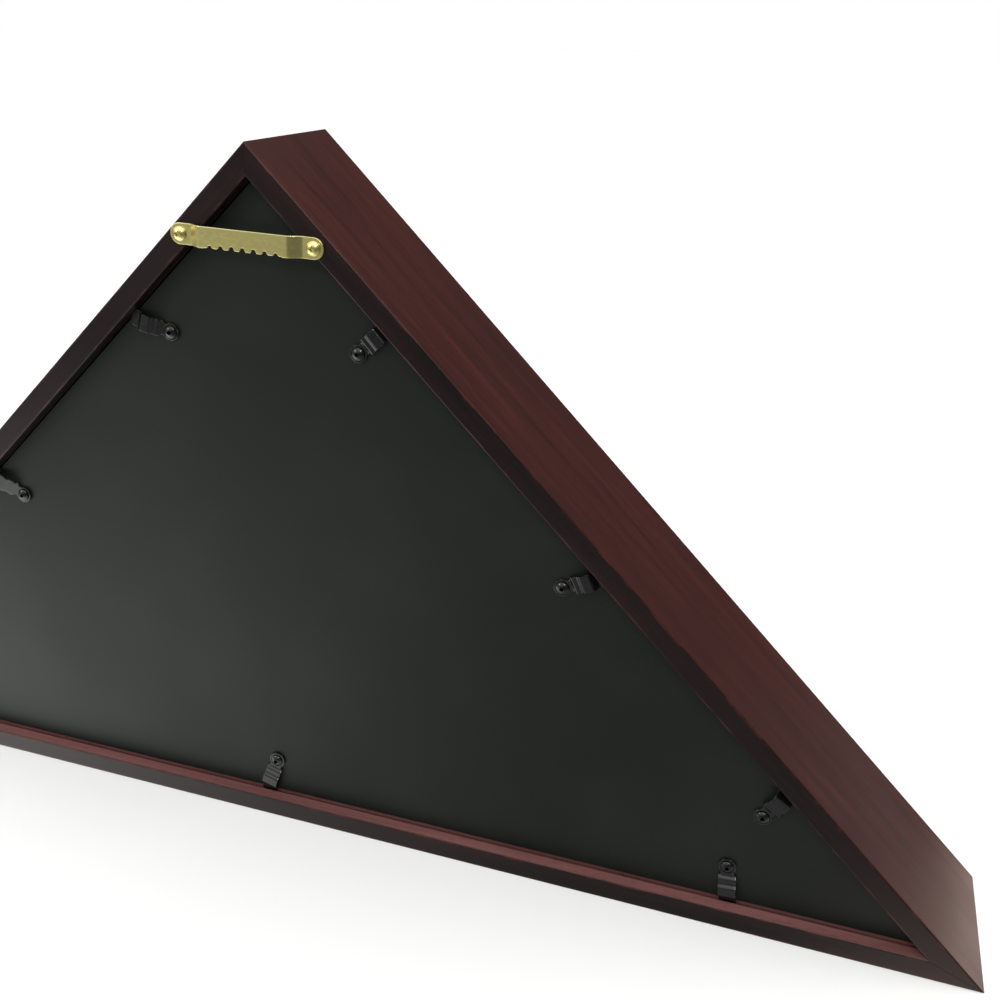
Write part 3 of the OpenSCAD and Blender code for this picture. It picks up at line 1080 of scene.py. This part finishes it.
@dataclass
class RailSet:
    """The three mitred rails and the liner strips inside them, in millimetres."""

    layout: Layout
    tool: MitredBarTool
    face: float = 12.0
    cove: float = 3.0
    arris: float = 0.7
    sight_ease: float = 0.5
    hold: float = 1.4
    groove_deep: float = 3.0
    groove_width: float = 2.2
    groove_from_back: float = 7.6
    mitre_gap: float = 0.08
    wood: LacqueredMahogany = field(default_factory=LacqueredMahogany)
    liner_wood: LacqueredMahogany = field(default_factory=lambda: LacqueredMahogany(
        name="satin_stained_liner", dark="200a0b", deep="391416", warm="55211f", coat=0.05))

    def build(self) -> None:
        """Builds and dresses the rails and the liner strips."""
        for side in Side:
            placement = Placement(tuple(self.layout.corner(side) * MM), self.layout.turn(side))
            wood = self.wood.material(placement, "_" + side.label)
            rail = self._bar(f"{side.label}_rail_milled", side, self.rail_section(), wood)
            fit(rail, "case", [f"{side.label}_rail"])
            stain = self.liner_wood.material(placement, "_" + side.label)
            strip = self._bar(f"{side.label}_liner_strip", side, self.liner_section(), stain)
            fit(strip, "case", [f"{side.label}_liner"])

    def _rounded(self, corner: Point2, centre: Point2, start: float) -> list[SectionPoint]:
        """Returns a rounded corner of a section, with holding points at both sides.

        Args:
            corner: The sharp corner that is rounded.
            centre: The sign of the way from the corner into the wood, inwards and in depth.
            start: The angle at which the arc starts; it ends 90 degrees further on.

        Returns:
            Points as distance inwards, depth and wear.
        """
        radius = self.arris
        middle = (corner[0] + centre[0] * radius, corner[1] + centre[1] * radius)
        curve = arc(middle, radius, start, start + 90, 4)
        first, last = Vector(curve[0]), Vector(curve[-1])
        spot = Vector(corner)
        enter = spot + (first - spot).normalized() * self.hold
        leave = spot + (last - spot).normalized() * self.hold
        return [(*enter, 0.0), *[(*p, 1.0) for p in curve], (*leave, 0.0)]

    def rail_section(self) -> list[SectionPoint]:
        """Returns a rail's section, round the outside first: distance inwards, depth and wear."""
        size = self.layout
        front, back, wall, lip = size.front, size.back, size.wall, size.lip
        deep = wall - self.groove_deep
        groove = back - self.groove_from_back
        width = lip - self.face
        ease = self.sight_ease
        upper, lower = (self.face - ease, front + ease), (lip - ease, front + self.cove + ease)
        scoop = [(
            self.face + width * (1 - math.cos(a)), front + self.cove * math.sin(a), 0.0,
        ) for a in (math.radians(90 * i / 12) for i in range(1, 12))]
        return [
            *self._rounded((0, front), (1, 1), 180),
            (self.face - ease * 2, front, 0.0),
            *[(*p, 1.0) for p in arc(upper, ease, 270, 340, 3)],
            *scoop,
            (lip - ease, front + self.cove, 0.5),
            *[(*p, 1.0) for p in arc(lower, ease, 290, 360, 3)],
            (lip, size.seat, 0.0),
            (wall, size.seat, 0.0),
            (wall, groove, 0.2), (deep, groove, 0.0),
            (deep, groove + self.groove_width, 0.0), (wall, groove + self.groove_width, 0.2),
            *self._rounded((wall, back), (-1, -1), 0),
            *self._rounded((0, back), (1, -1), 90),
        ]

    def liner_section(self) -> list[SectionPoint]:
        """Returns a liner strip's section."""
        size = self.layout
        inner, near, far = size.wall + size.liner, size.glass_back, size.felt_front
        return [
            (size.wall, near, 0.0),
            *self._rounded((inner, near), (-1, 1), 270),
            *self._rounded((inner, far), (-1, -1), 0),
            (size.wall, far, 0.0),
        ]

    def _bar(self, name: str, side: Side, section: list[SectionPoint],
             material: bpy.types.Material) -> bpy.types.Object:
        """Runs a section along a side.

        Args:
            name: The piece's name.
            side: The side.
            section: The section's points.
            material: The finish.

        Returns:
            The bar, with its ends eased so that the mitres show as fine lines.
        """
        host = bpy.data.meshes.new(name + "_section")
        points = [(t * MM, y * MM, 0) for t, y, _ in section]
        host.from_pydata(points, [], [list(range(len(section)))])
        size = self.layout
        # Marks for the finish: the base's upward-facing inner wall gets painted light, the sloped rails' inner
        # walls get painted shade, and every back face is darkened.
        inside = [float(t > size.wall - self.arris / 2 and y > size.felt_front)
                  for t, y, _ in section]
        edge = [max(0.0, 1 - (size.back - y) / self.arris) for _, y, _ in section]
        open_side = side is Side.BASE
        marks = {
            "arris": [wear for _, _, wear in section],
            "thin": [max(0.0, v - e) if open_side else 0.0 for v, e in zip(inside, edge)],
            "sooty": edge if open_side else [max(v, e) for v, e in zip(inside, edge)],
        }
        for mark, values in marks.items():
            host.attributes.new(mark, "FLOAT", "POINT").data.foreach_set("value", values)
        start, end = self.layout.slants(side)
        bar = self.tool.make(
            name, host, Length=self.layout.length(side) * MM, Start_Slant=start, End_Slant=end,
            Turn=self.layout.turn(side), Corner=self.layout.corner(side) * MM, Material=material)
        shape = bmesh.new()
        shape.from_mesh(bar.data)
        ends = [f for f in shape.faces if len(f.verts) == len(section)]
        rims = list({edge for f in ends for edge in f.edges})
        bmesh.ops.bevel(shape, geom=rims, offset=self.mitre_gap * MM, segments=1, affect="EDGES",
                        clamp_overlap=True, material=-1)
        bmesh.ops.recalc_face_normals(shape, faces=shape.faces)
        shape.to_mesh(bar.data)
        shape.free()
        soften(bar)
        return bar


# ------------------------------------------------------------------ glass, board and felt


@dataclass
class Panels:
    """What closes the case: the glass in front, and the felted board behind."""

    layout: Layout
    glass_seam: float = 0.35
    felt_rows: int = 60
    felt_hollow: float = 0.12
    glass: FloatGlass = field(default_factory=FloatGlass)
    board: PaintedBoard = field(default_factory=PaintedBoard)
    felt: WoolFelt = field(default_factory=WoolFelt)

    def build(self) -> None:
        """Builds the glass and the felt, and dresses the board."""
        pane = self._pane()
        pane.data.materials.append(self.glass.material())
        soften(pane)
        fit(pane, "case", ["front_glass"])
        dress("backboard", self.board.material())
        sheet = self._felt()
        sheet.data.materials.append(self.felt.material())
        soften(sheet, 60)
        fit(sheet, "case", ["felt_lining"])

    def _pane(self) -> bpy.types.Object:
        """Makes the glass, with its edges seamed."""
        low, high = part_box("front_glass")
        shape = bmesh.new()
        corners = [(low.x, low.z), (high.x, low.z), (0, high.z)]
        near = shape.faces.new([shape.verts.new((x, low.y, z)) for x, z in corners])
        walls = bmesh.ops.extrude_face_region(shape, geom=[near])["geom"]
        moved = [v for v in walls if isinstance(v, bmesh.types.BMVert)]
        bmesh.ops.translate(shape, verts=moved, vec=(0, high.y - low.y, 0))
        bmesh.ops.bevel(shape, geom=shape.edges[:], offset=self.glass_seam * MM, segments=2,
                        affect="EDGES", profile=0.5)
        return link("seamed_glass_pane", to_mesh("seamed_glass_pane", shape, 1.0))

    def _felt(self) -> bpy.types.Object:
        """Makes the felt as rows of points, whose open face is slightly uneven."""
        low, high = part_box("felt_lining")
        shape = bmesh.new()
        layers = []
        for depth in (low.y, high.y):
            rows = []
            for i in range(self.felt_rows + 1):
                rise = i / self.felt_rows
                half = high.x * (1 - rise)
                count = self.felt_rows - i
                row = []
                for j in range(count + 1):
                    x = half * (2 * j / count - 1) if count else 0.0
                    z = low.z + (high.z - low.z) * rise
                    hollow = 0.0
                    if depth == low.y and 0 < j < count and i > 0:
                        lump = noise.noise(Vector((x, 0, z)) * 55) * 0.5 + 0.5
                        hollow = self.felt_hollow * MM * lump
                    row.append(shape.verts.new((x, depth + hollow, z)))
                rows.append(row)
            layers.append(rows)
            for lower, upper in zip(rows, rows[1:]):
                for j, top in enumerate(upper):
                    shape.faces.new((lower[j], lower[j + 1], top))
                    if j:
                        shape.faces.new((upper[j - 1], lower[j], top))
        rims = [self._rim(rows) for rows in layers]
        for i, here in enumerate(rims[0]):
            shape.faces.new((rims[0][i - 1], here, rims[1][i], rims[1][i - 1]))
        return link("pressed_felt_sheet", to_mesh("pressed_felt_sheet", shape, 1.0))

    @staticmethod
    def _rim(rows: list[list[bmesh.types.BMVert]]) -> list[bmesh.types.BMVert]:
        """Returns the points round a triangle of rows, each once."""
        right = [row[-1] for row in rows[1:]]
        left = [row[0] for row in rows[-2:0:-1]]
        return rows[0] + right + left


# ------------------------------------------------------------------ turn buttons


@dataclass
class TurnButtons:
    """The nine pressed steel turn buttons, in millimetres."""

    tool: PlaceTool
    thickness: float = 0.8
    pad_width: float = 7.6
    neck_width: float = 5.6
    tail: float = 7.8
    reach: float = 19.7
    tip_round: float = 1.5
    bend: float = 1.2
    shelf_start: float = 4.5
    shelf_end: float = 8.2
    shelf_rise: float = 1.3
    pad_end: float = 13.7
    pad_rise: float = 2.6
    tip_start: float = 15.8
    hole: float = 3.16
    steel: BlackedSteel = field(default_factory=BlackedSteel)

    def build(self) -> None:
        """Builds every button at the angle at which it was left."""
        blank = Pressing(self.thickness).mesh(
            "turn_button_blank", self.outline(),
            [arc((0, 0), self.hole / 2, 360, 15, 23)], self.profile())
        for joint in frame["joints"]:
            body = joint["child"]
            node = frame["record"]["behaviour"]["bodies"][body][0]
            pivot, level = Vector(joint["pos_m"]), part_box(node)[0].y
            angle = self._angle(node, pivot)
            seat = Vector((pivot.x, level, pivot.z))
            placement = Placement(tuple(seat), angle)
            piece = self.tool.make(
                node.replace("turn_button", "pressed_button"), blank.copy(), Turn=angle, Seat=seat,
                Material=self.steel.material(placement, "_" + body))
            soften(piece)
            fit(piece, body, [node])

    def outline(self) -> list[Point2]:
        """Returns the blank's outline: a round tail, a neck and a pad with a rounded tip."""
        pad, neck, tail = self.pad_width / 2, self.neck_width / 2, self.tail / 2
        tip, corner = self.reach - self.tip_round, pad - self.tip_round
        meet = math.degrees(math.asin(neck / tail))
        return [
            (self.shelf_start, -pad), *arc((tip, -corner), self.tip_round, 270, 360, 6),
            *arc((tip, corner), self.tip_round, 0, 90, 6), (self.shelf_start, pad),
            (self.shelf_start, neck), *arc((0, 0), tail, meet, 360 - meet, 28),
            (self.shelf_start, -neck),
        ]

    def profile(self) -> list[Point2]:
        """Returns the pressed profile: neck, shelf, raised pad and lowered tip."""
        return [
            (-self.tail / 2, 0), (self.shelf_start, 0),
            (self.shelf_start + self.bend, self.shelf_rise), (self.shelf_end, self.shelf_rise),
            (self.shelf_end + self.bend, self.pad_rise), (self.pad_end, self.pad_rise),
            (self.tip_start, 0), (self.reach, 0),
        ]

    @staticmethod
    def _angle(node: str, pivot: Vector) -> float:
        """Returns the angle from +X towards +Z at which a button points at rest."""
        weight, centre = 0.0, Vector()
        for face in frame["nodes"][node].data.polygons:
            weight += face.area
            centre += face.center * face.area
        aim = centre / weight - pivot
        return math.atan2(aim.z, aim.x)


# ------------------------------------------------------------------ hardware


@dataclass
class Hardware:
    """The rivets, brads and screws, in millimetres."""

    layout: Layout
    tool: ScatterTool
    brads_per_side: int = 3
    rivet_foot: float = 4.8
    rivet_shank: float = 3.0
    rivet_head: float = 5.8
    rivet_rise: float = 1.4
    rivet_seat: float = 4.4
    rivet_hollow: float = 1.8
    steel: BlackedSteel = field(default_factory=lambda: BlackedSteel(name="black_enamelled_rivet"))
    wire: DrawnSteel = field(default_factory=DrawnSteel)

    def build(self) -> None:
        """Builds and dresses the rivets and the brads."""
        pivots = [Vector(joint["pos_m"]) / MM for joint in frame["joints"]]
        seats = [(Vector((p.x, self.layout.board_front, p.z)), Vector()) for p in pivots]
        rivets = self.tool.scatter(
            "domed_rivets", to_mesh("rivet", self._rivet()), seats, Spin=math.tau, Seed=4,
            Material=self.steel.material())
        soften(rivets)
        fit(rivets, "case", ["button_rivets"])
        brads = self.tool.scatter(
            "liner_brad_set", to_mesh("brad", self._brad()), self._brad_seats(), Spin=math.tau,
            Seed=9, Material=self.wire.material())
        soften(brads)
        fit(brads, "case", ["liner_brads"])

    def _rivet(self) -> bmesh.types.BMesh:
        """Turns a rivet: its set flange, shank, domed head and the hollow in it."""
        foot, shank, head, bore = (
            v / 2 for v in (self.rivet_foot, self.rivet_shank, self.rivet_head, self.rivet_hollow))
        dome = Lathe.dome(self.rivet_head - 0.1, self.rivet_seat + 0.25,
                          self.rivet_rise - 0.25, bore + 0.15)
        lip = dome[-1][1]
        return Lathe(36).turn([
            (0, 0), (foot, 0), (foot, 0.7), (shank, 0.7), (shank, self.rivet_seat),
            (head - 0.15, self.rivet_seat), (head, self.rivet_seat + 0.12), *dome,
            (bore, lip - 0.12), (bore, 3.5), (0, 3.2),
        ])

    def _brad(self) -> bmesh.types.BMesh:
        """Turns a brad, whose flat head stands a hair proud of the strip."""
        return Lathe(16).turn([
            (0, -10.0), (0.6, -8.6), (0.6, -0.7), (0.95, -0.7), (1.0, -0.6), (1.0, 0.02),
            (0.88, 0.12), (0, 0.14),
        ])

    def _brad_seats(self) -> Iterable[tuple[Vector, Vector]]:
        """Yields each brad's seat on its liner strip and how it faces."""
        size = self.layout
        depth = (size.glass_back + size.felt_front) / 2
        for side in Side:
            for i in range(1, self.brads_per_side + 1):
                along = size.length(side) * i / (self.brads_per_side + 1)
                seat = size.point(side, along, size.wall + size.liner, depth)
                yield seat, Vector((math.pi / 2, -size.turn(side), 0))


# ------------------------------------------------------------------ hanger


@dataclass
class SawtoothHanger:
    """The stamped brass hanger across the apex, with its two screws, in millimetres."""

    layout: Layout
    place: PlaceTool
    scatter: ScatterTool
    screw_gap: float = 60.7
    width: float = 8.9
    thickness: float = 0.9
    band: float = 41.0
    band_slope: float = 4.5
    band_rise: float = 2.6
    notches: int = 7
    pitch: float = 5.0
    notch_deep: float = 1.2
    notch_round: float = 0.9
    notch_mouth: float = 2.8
    teeth_back: float = 0.2
    teeth_arch: float = 0.5
    screw_hole: float = 2.6
    head: float = 6.0
    head_rise: float = 1.9
    head_rim: float = 0.6
    shank: float = 10.0
    recess: float = 3.2
    recess_width: float = 0.8
    recess_deep: float = 1.2
    brass: BrassPlate = field(default_factory=BrassPlate)
    screw_brass: BrassPlate = field(default_factory=lambda: BrassPlate(
        name="bright_brass_screw", bright="fbf2b8", plain="efe39a", dull="c9ba72", roughness=0.3))

    def build(self) -> None:
        """Builds and dresses the hanger and its screws."""
        middle, tilt = self._seat()
        ends = [x * self.screw_gap / 2 for x in (-1, 1)]
        holes = [arc((x, 0), self.screw_hole / 2, 360, 15, 23) for x in ends]
        blank = Pressing(self.thickness, edge=0.25, edge_steps=3, bend=0.8, rim=0.6).mesh(
            "hanger_blank", self.outline(), holes, self.profile())
        placement = Placement(tuple(middle), tilt)
        strip = self.place.make("stamped_hanger", blank, Turn=tilt, Seat=middle,
                                Material=self.brass.material(placement))
        soften(strip)
        fit(strip, "case", ["sawtooth_hanger"])
        run = Vector((math.cos(tilt), 0, math.sin(tilt)))
        top = middle / MM + Vector((0, self.thickness, 0))
        seats = [(top + run * x, Vector()) for x in ends]
        screws = self.scatter.scatter(
            "pan_head_screws", self._screw(), seats, Spin=math.pi / 2, Seed=3,
            Material=self.screw_brass.material(placement))
        soften(screws)
        fit(screws, "case", ["hanger_screws"])

    def _seat(self) -> tuple[Vector, float]:
        """Returns the middle of the hanger on the rails' back faces, and its tilt, as the
        CAD hanger's vertices give them."""
        mesh = frame["nodes"]["sawtooth_hanger"].data
        tips = [max(mesh.vertices, key=lambda v: way * v.co.x).co for way in (-1, 1)]
        tabs = [[v.co for v in mesh.vertices if abs(v.co.x - tip.x) < self.width / 2 * MM]
                for tip in tips]
        heights = [(min(c.z for c in tab) + max(c.z for c in tab)) / 2 for tab in tabs]
        tilt = math.atan2(heights[1] - heights[0], self.screw_gap * MM)
        centre = (tips[0].x + tips[1].x) / 2
        return Vector((centre, self.layout.back * MM, sum(heights) / 2)), tilt

    def profile(self) -> list[Point2]:
        """Returns the strip's profile: a tab, the raised band and a tab."""
        end, foot = self.screw_gap / 2 + self.width / 2, self.band / 2 + self.band_slope
        return [
            (-end, 0), (-foot, 0), (-self.band / 2, self.band_rise),
            (self.band / 2, self.band_rise), (foot, 0), (end, 0),
        ]

    def outline(self) -> list[Point2]:
        """Returns the strip's outline: rounded tabs, and notches along the lower edge."""
        half, end = self.width / 2, self.screw_gap / 2
        low = -half + self.teeth_back
        teeth = self.notches * self.pitch / 2
        lower = [(-teeth - 0.5, -half), (-teeth, low)]
        middle = (self.notches - 1) / 2
        for i in range(self.notches):
            place = i - middle
            x = place * self.pitch
            rise = self.teeth_arch * (1 - (place / middle) ** 2)
            top = low + self.notch_deep + rise - self.notch_round
            first, last = x - self.notch_mouth / 2, x + self.notch_mouth / 2
            lower += [
                (first - 0.25, low), (first + 0.05, low + 0.15),
                *arc((x, top), self.notch_round, 180, 0, 8),
                (last - 0.05, low + 0.15), (last + 0.25, low),
            ]
        lower += [(teeth, low), (teeth + 0.5, -half)]
        return [
            *lower, *arc((end, 0), half, 270, 450, 20), *arc((-end, 0), half, 90, 270, 20),
        ]

    def _screw(self) -> bpy.types.Mesh:
        """Makes a pan-head screw with a tapered cross recess.

        Returns:
            The mesh, which points along +Y with its head's underside at the origin.
        """
        shank = self.screw_hole / 2
        head = Lathe(40).turn([
            (0, -self.shank), (shank, 2.5 - self.shank), (shank, 0), (self.head / 2 - 0.1, 0),
            (self.head / 2, 0.1),
            *Lathe.dome(self.head, self.head_rim, self.head_rise - self.head_rim, 0, 8)[:-1],
            (0, self.head_rise),
        ])
        body = link("screw_body", to_mesh("screw_body", head))
        arms = bmesh.new()
        for turn in (0, math.pi / 2):
            box = bmesh.ops.create_cube(arms, size=1)["verts"]
            for vertex in box:
                narrow = 0.55 if vertex.co.y < 0 else 1.0
                vertex.co.x *= self.recess * narrow
                vertex.co.z *= self.recess_width * (0.75 if vertex.co.y < 0 else 1.1)
                vertex.co.y = self.head_rise + (0.5 if vertex.co.y > 0 else -self.recess_deep)
            bmesh.ops.rotate(arms, verts=box, cent=(0, 0, 0), matrix=Matrix.Rotation(turn, 3, "Y"))
        cutter = link("recess_cutter", to_mesh("recess_cutter", arms))
        cut = body.modifiers.new("recess", "BOOLEAN")
        cut.operation, cut.object, cut.solver, cut.use_self = "DIFFERENCE", cutter, "EXACT", True
        graph = bpy.context.evaluated_depsgraph_get()
        mesh = bpy.data.meshes.new_from_object(body.evaluated_get(graph))
        for helper in (body, cutter):
            bpy.data.objects.remove(helper)
        return mesh


# ------------------------------------------------------------------ studio


@dataclass
class Studio:
    """The floor, the light and the camera, in metres and degrees."""

    eye: Triple = (-0.23438, 0.42032, 0.36236)
    azimuth: float = 197.231
    elevation: float = 19.452
    roll: float = 1.55
    lens: float = 39.4
    shift: tuple[float, float] = (-0.01678, -0.07985)
    floor_size: float = 60.0
    card_rise: float = 0.0002
    card_lean: Triple = (-0.35, 1.0, 0.0)
    card_depths: Point2 = (-0.1, 0.9)
    card_levels: Point2 = (0.42, 0.06)
    pools: tuple[tuple[Triple, float, float, Triple], ...] = (
        ((0.33, 0.04, 0.0), 0.08, 0.49, (1.95, 2.02, 1.9)),
        ((-0.34, -0.02, 0.0), 0.01, 0.14, (1.85, 1.55, 1.35)),
        ((-0.75, -0.45, 0.0), 0.1, 0.6, (0.6, 0.55, 0.52)),
        ((1.1, 1.5, 0.0), 0.2, 1.0, (0.7, 0.7, 0.68)),
    )
    sky_lean: Triple = (0.4, 0.15, 1.0)
    sky_band: Point2 = (0.3, 0.7)
    sky_levels: Point2 = (0.1, 1.0)
    behind_case: Point2 = (-0.06, 0.03)
    overhead: float = 1.0
    overhead_spread: float = 80.0
    overhead_lean: Triple = (-6.0, -8.0, 0.0)
    lamp_aim: Triple = (0.0, 0.0, 0.15)
    softboxes: tuple[tuple[str, Triple, float, float], ...] = (
        ("softbox_left", (-0.45, 1.0, 1.0), 0.14, 2.6),
        ("softbox_right", (1.2, 1.1, 1.0), 0.2, 4.0),
    )
    paper: StudioPaper = field(default_factory=StudioPaper)

    def build(self) -> None:
        """Sets up the whole studio."""
        self._camera()
        self._floor()
        self._reflector()
        self._sky()
        self._lamps()
        view = bpy.context.scene.view_settings
        view.view_transform, view.look, view.exposure, view.gamma = "Standard", "None", 0.0, 1.0

    def _camera(self) -> None:
        """Sets the camera to the case's three-quarter back view."""
        data = bpy.data.cameras.new("studio_camera")
        data.lens, data.sensor_width = self.lens, 36.0
        data.shift_x, data.shift_y = self.shift
        data.clip_start, data.clip_end = 0.01, 200.0
        camera = bpy.data.objects.new("studio_camera", data)
        bpy.context.scene.collection.objects.link(camera)
        a, e = math.radians(self.azimuth), math.radians(self.elevation)
        back = Vector((math.sin(a) * math.cos(e), -math.cos(a) * math.cos(e), math.sin(e)))
        aim = (-back).to_track_quat("-Z", "Y") @ Quaternion((0, 0, 1), math.radians(self.roll))
        camera.rotation_mode = "QUATERNION"
        camera.location, camera.rotation_quaternion = self.eye, aim
        bpy.context.scene.camera = camera

    def _floor(self) -> None:
        """Lays the pale paper that the case stands on."""
        shape = bmesh.new()
        bmesh.ops.create_grid(shape, x_segments=1, y_segments=1, size=self.floor_size / 2)
        floor = link("floor", to_mesh("floor", shape, 1.0))
        if floor.data.polygons[0].normal.z < 0:
            floor.data.flip_normals()
        floor.data.materials.append(self.paper.material())

    def _reflector(self) -> None:
        """Lays a graded card over the paper, which only glossy and transmitted rays see. It
        isn't physical: it stands for the dim floor of a room lit from one side."""
        shape = bmesh.new()
        bmesh.ops.create_grid(shape, x_segments=1, y_segments=1, size=self.floor_size / 2)
        bmesh.ops.translate(shape, verts=shape.verts, vec=(0, 0, self.card_rise))
        card = link("reflection_card", to_mesh("reflection_card", shape, 1.0))
        made = bpy.data.materials.new("graded_card")
        made.use_nodes = True
        tree = made.node_tree
        tree.nodes.clear()
        place = add_node(tree, "ShaderNodeTexCoord").outputs["Object"]
        lean = add_node(tree, "ShaderNodeVectorMath", {0: place, 1: self.card_lean},
                        operation="DOT_PRODUCT").outputs["Value"]
        near_back = add_node(tree, "ShaderNodeMapRange", {
            "Value": lean, "From Min": self.card_depths[0], "From Max": self.card_depths[1],
            "To Min": self.card_levels[0], "To Max": self.card_levels[1],
        }, interpolation_type="SMOOTHSTEP")
        behind = add_node(tree, "ShaderNodeMapRange", {
            "Value": add_node(tree, "ShaderNodeSeparateXYZ", {"Vector": place}).outputs["Y"],
            "From Min": self.behind_case[0], "From Max": self.behind_case[1],
            "To Min": 0.0, "To Max": 1.0,
        }, interpolation_type="SMOOTHSTEP")
        light = add_node(tree, "ShaderNodeMath", {0: near_back, 1: behind, 2: self.card_levels[1]},
                         operation="MULTIPLY_ADD")
        for spot, near, far, colour in self.pools:
            away = add_node(tree, "ShaderNodeVectorMath", {0: place, 1: spot},
                            operation="DISTANCE").outputs["Value"]
            share = add_node(tree, "ShaderNodeMapRange", {
                "Value": away, "From Min": near, "From Max": far, "To Min": 1.0, "To Max": 0.0,
            }, interpolation_type="SMOOTHSTEP")
            if spot[1] > 0:
                share = add_node(tree, "ShaderNodeMath", {0: share, 1: behind},
                                 operation="MULTIPLY")
            light = add_node(tree, "ShaderNodeVectorMath", {0: share, 1: colour, 2: light},
                             operation="MULTIPLY_ADD")
        glow = add_node(tree, "ShaderNodeEmission", {"Color": light, "Strength": 1.0})
        add_node(tree, "ShaderNodeOutputMaterial", {"Surface": glow})
        card.data.materials.append(made)
        card.visible_camera = card.visible_diffuse = card.visible_shadow = False
        card.visible_volume_scatter = False

    def _sky(self) -> None:
        """Makes a soft surround, bright overhead and dim at eye level behind the glass."""
        world = bpy.data.worlds.new("studio_surround")
        bpy.context.scene.world = world
        world.use_nodes = True
        tree = world.node_tree
        tree.nodes.clear()
        way = add_node(tree, "ShaderNodeTexCoord").outputs["Generated"]
        lean = add_node(tree, "ShaderNodeVectorMath", {0: way, 1: self.sky_lean},
                        operation="DOT_PRODUCT").outputs["Value"]
        rise = add_node(tree, "ShaderNodeMapRange", {
            "Value": lean, "From Min": self.sky_band[0], "From Max": self.sky_band[1],
            "To Min": self.sky_levels[0], "To Max": self.sky_levels[1],
        }, interpolation_type="SMOOTHSTEP")
        seen = add_node(tree, "ShaderNodeLightPath").outputs["Is Camera Ray"]
        level = add_node(tree, "ShaderNodeMix", {"Factor": seen, "A": rise, "B": 1.0},
                         data_type="FLOAT")
        surround = add_node(tree, "ShaderNodeBackground", {
            "Color": (1.0, 1.0, 1.0, 1.0), "Strength": level,
        })
        add_node(tree, "ShaderNodeOutputWorld", {"Surface": surround})

    def _lamps(self) -> None:
        """Hangs one broad overhead light and the softboxes that put glints on the metal."""
        sun = bpy.data.lights.new("overhead", "SUN")
        sun.energy, sun.angle = self.overhead, math.radians(self.overhead_spread)
        top = bpy.data.objects.new("overhead", sun)
        bpy.context.scene.collection.objects.link(top)
        top.rotation_euler = [math.radians(a) for a in self.overhead_lean]
        for name, place, size, power in self.softboxes:
            lamp = bpy.data.lights.new(name, "AREA")
            lamp.shape, lamp.size, lamp.energy = "SQUARE", size, power
            box = bpy.data.objects.new(name, lamp)
            bpy.context.scene.collection.objects.link(box)
            box.location = place
            box.visible_camera = False
            box.rotation_mode = "QUATERNION"
            aim = Vector(self.lamp_aim) - Vector(place)
            box.rotation_quaternion = aim.to_track_quat("-Z", "Y")


# ------------------------------------------------------------------ the whole


def main() -> None:
    """Builds the studio and then the case, one sub-assembly after another."""
    logging.basicConfig(level=logging.INFO, format="%(name)s %(message)s")
    Studio().build()
    layout = Layout.from_frame()
    place, scatter = PlaceTool(), ScatterTool()
    RailSet(layout, MitredBarTool()).build()
    Panels(layout).build()
    TurnButtons(place).build()
    Hardware(layout, scatter).build()
    SawtoothHanger(layout, place, scatter).build()
    birch = SplineBirch().material()
    for node in ("apex_spline", "left_spline", "right_spline"):
        dress(node, birch)


if __name__ == "__main__":
    main()
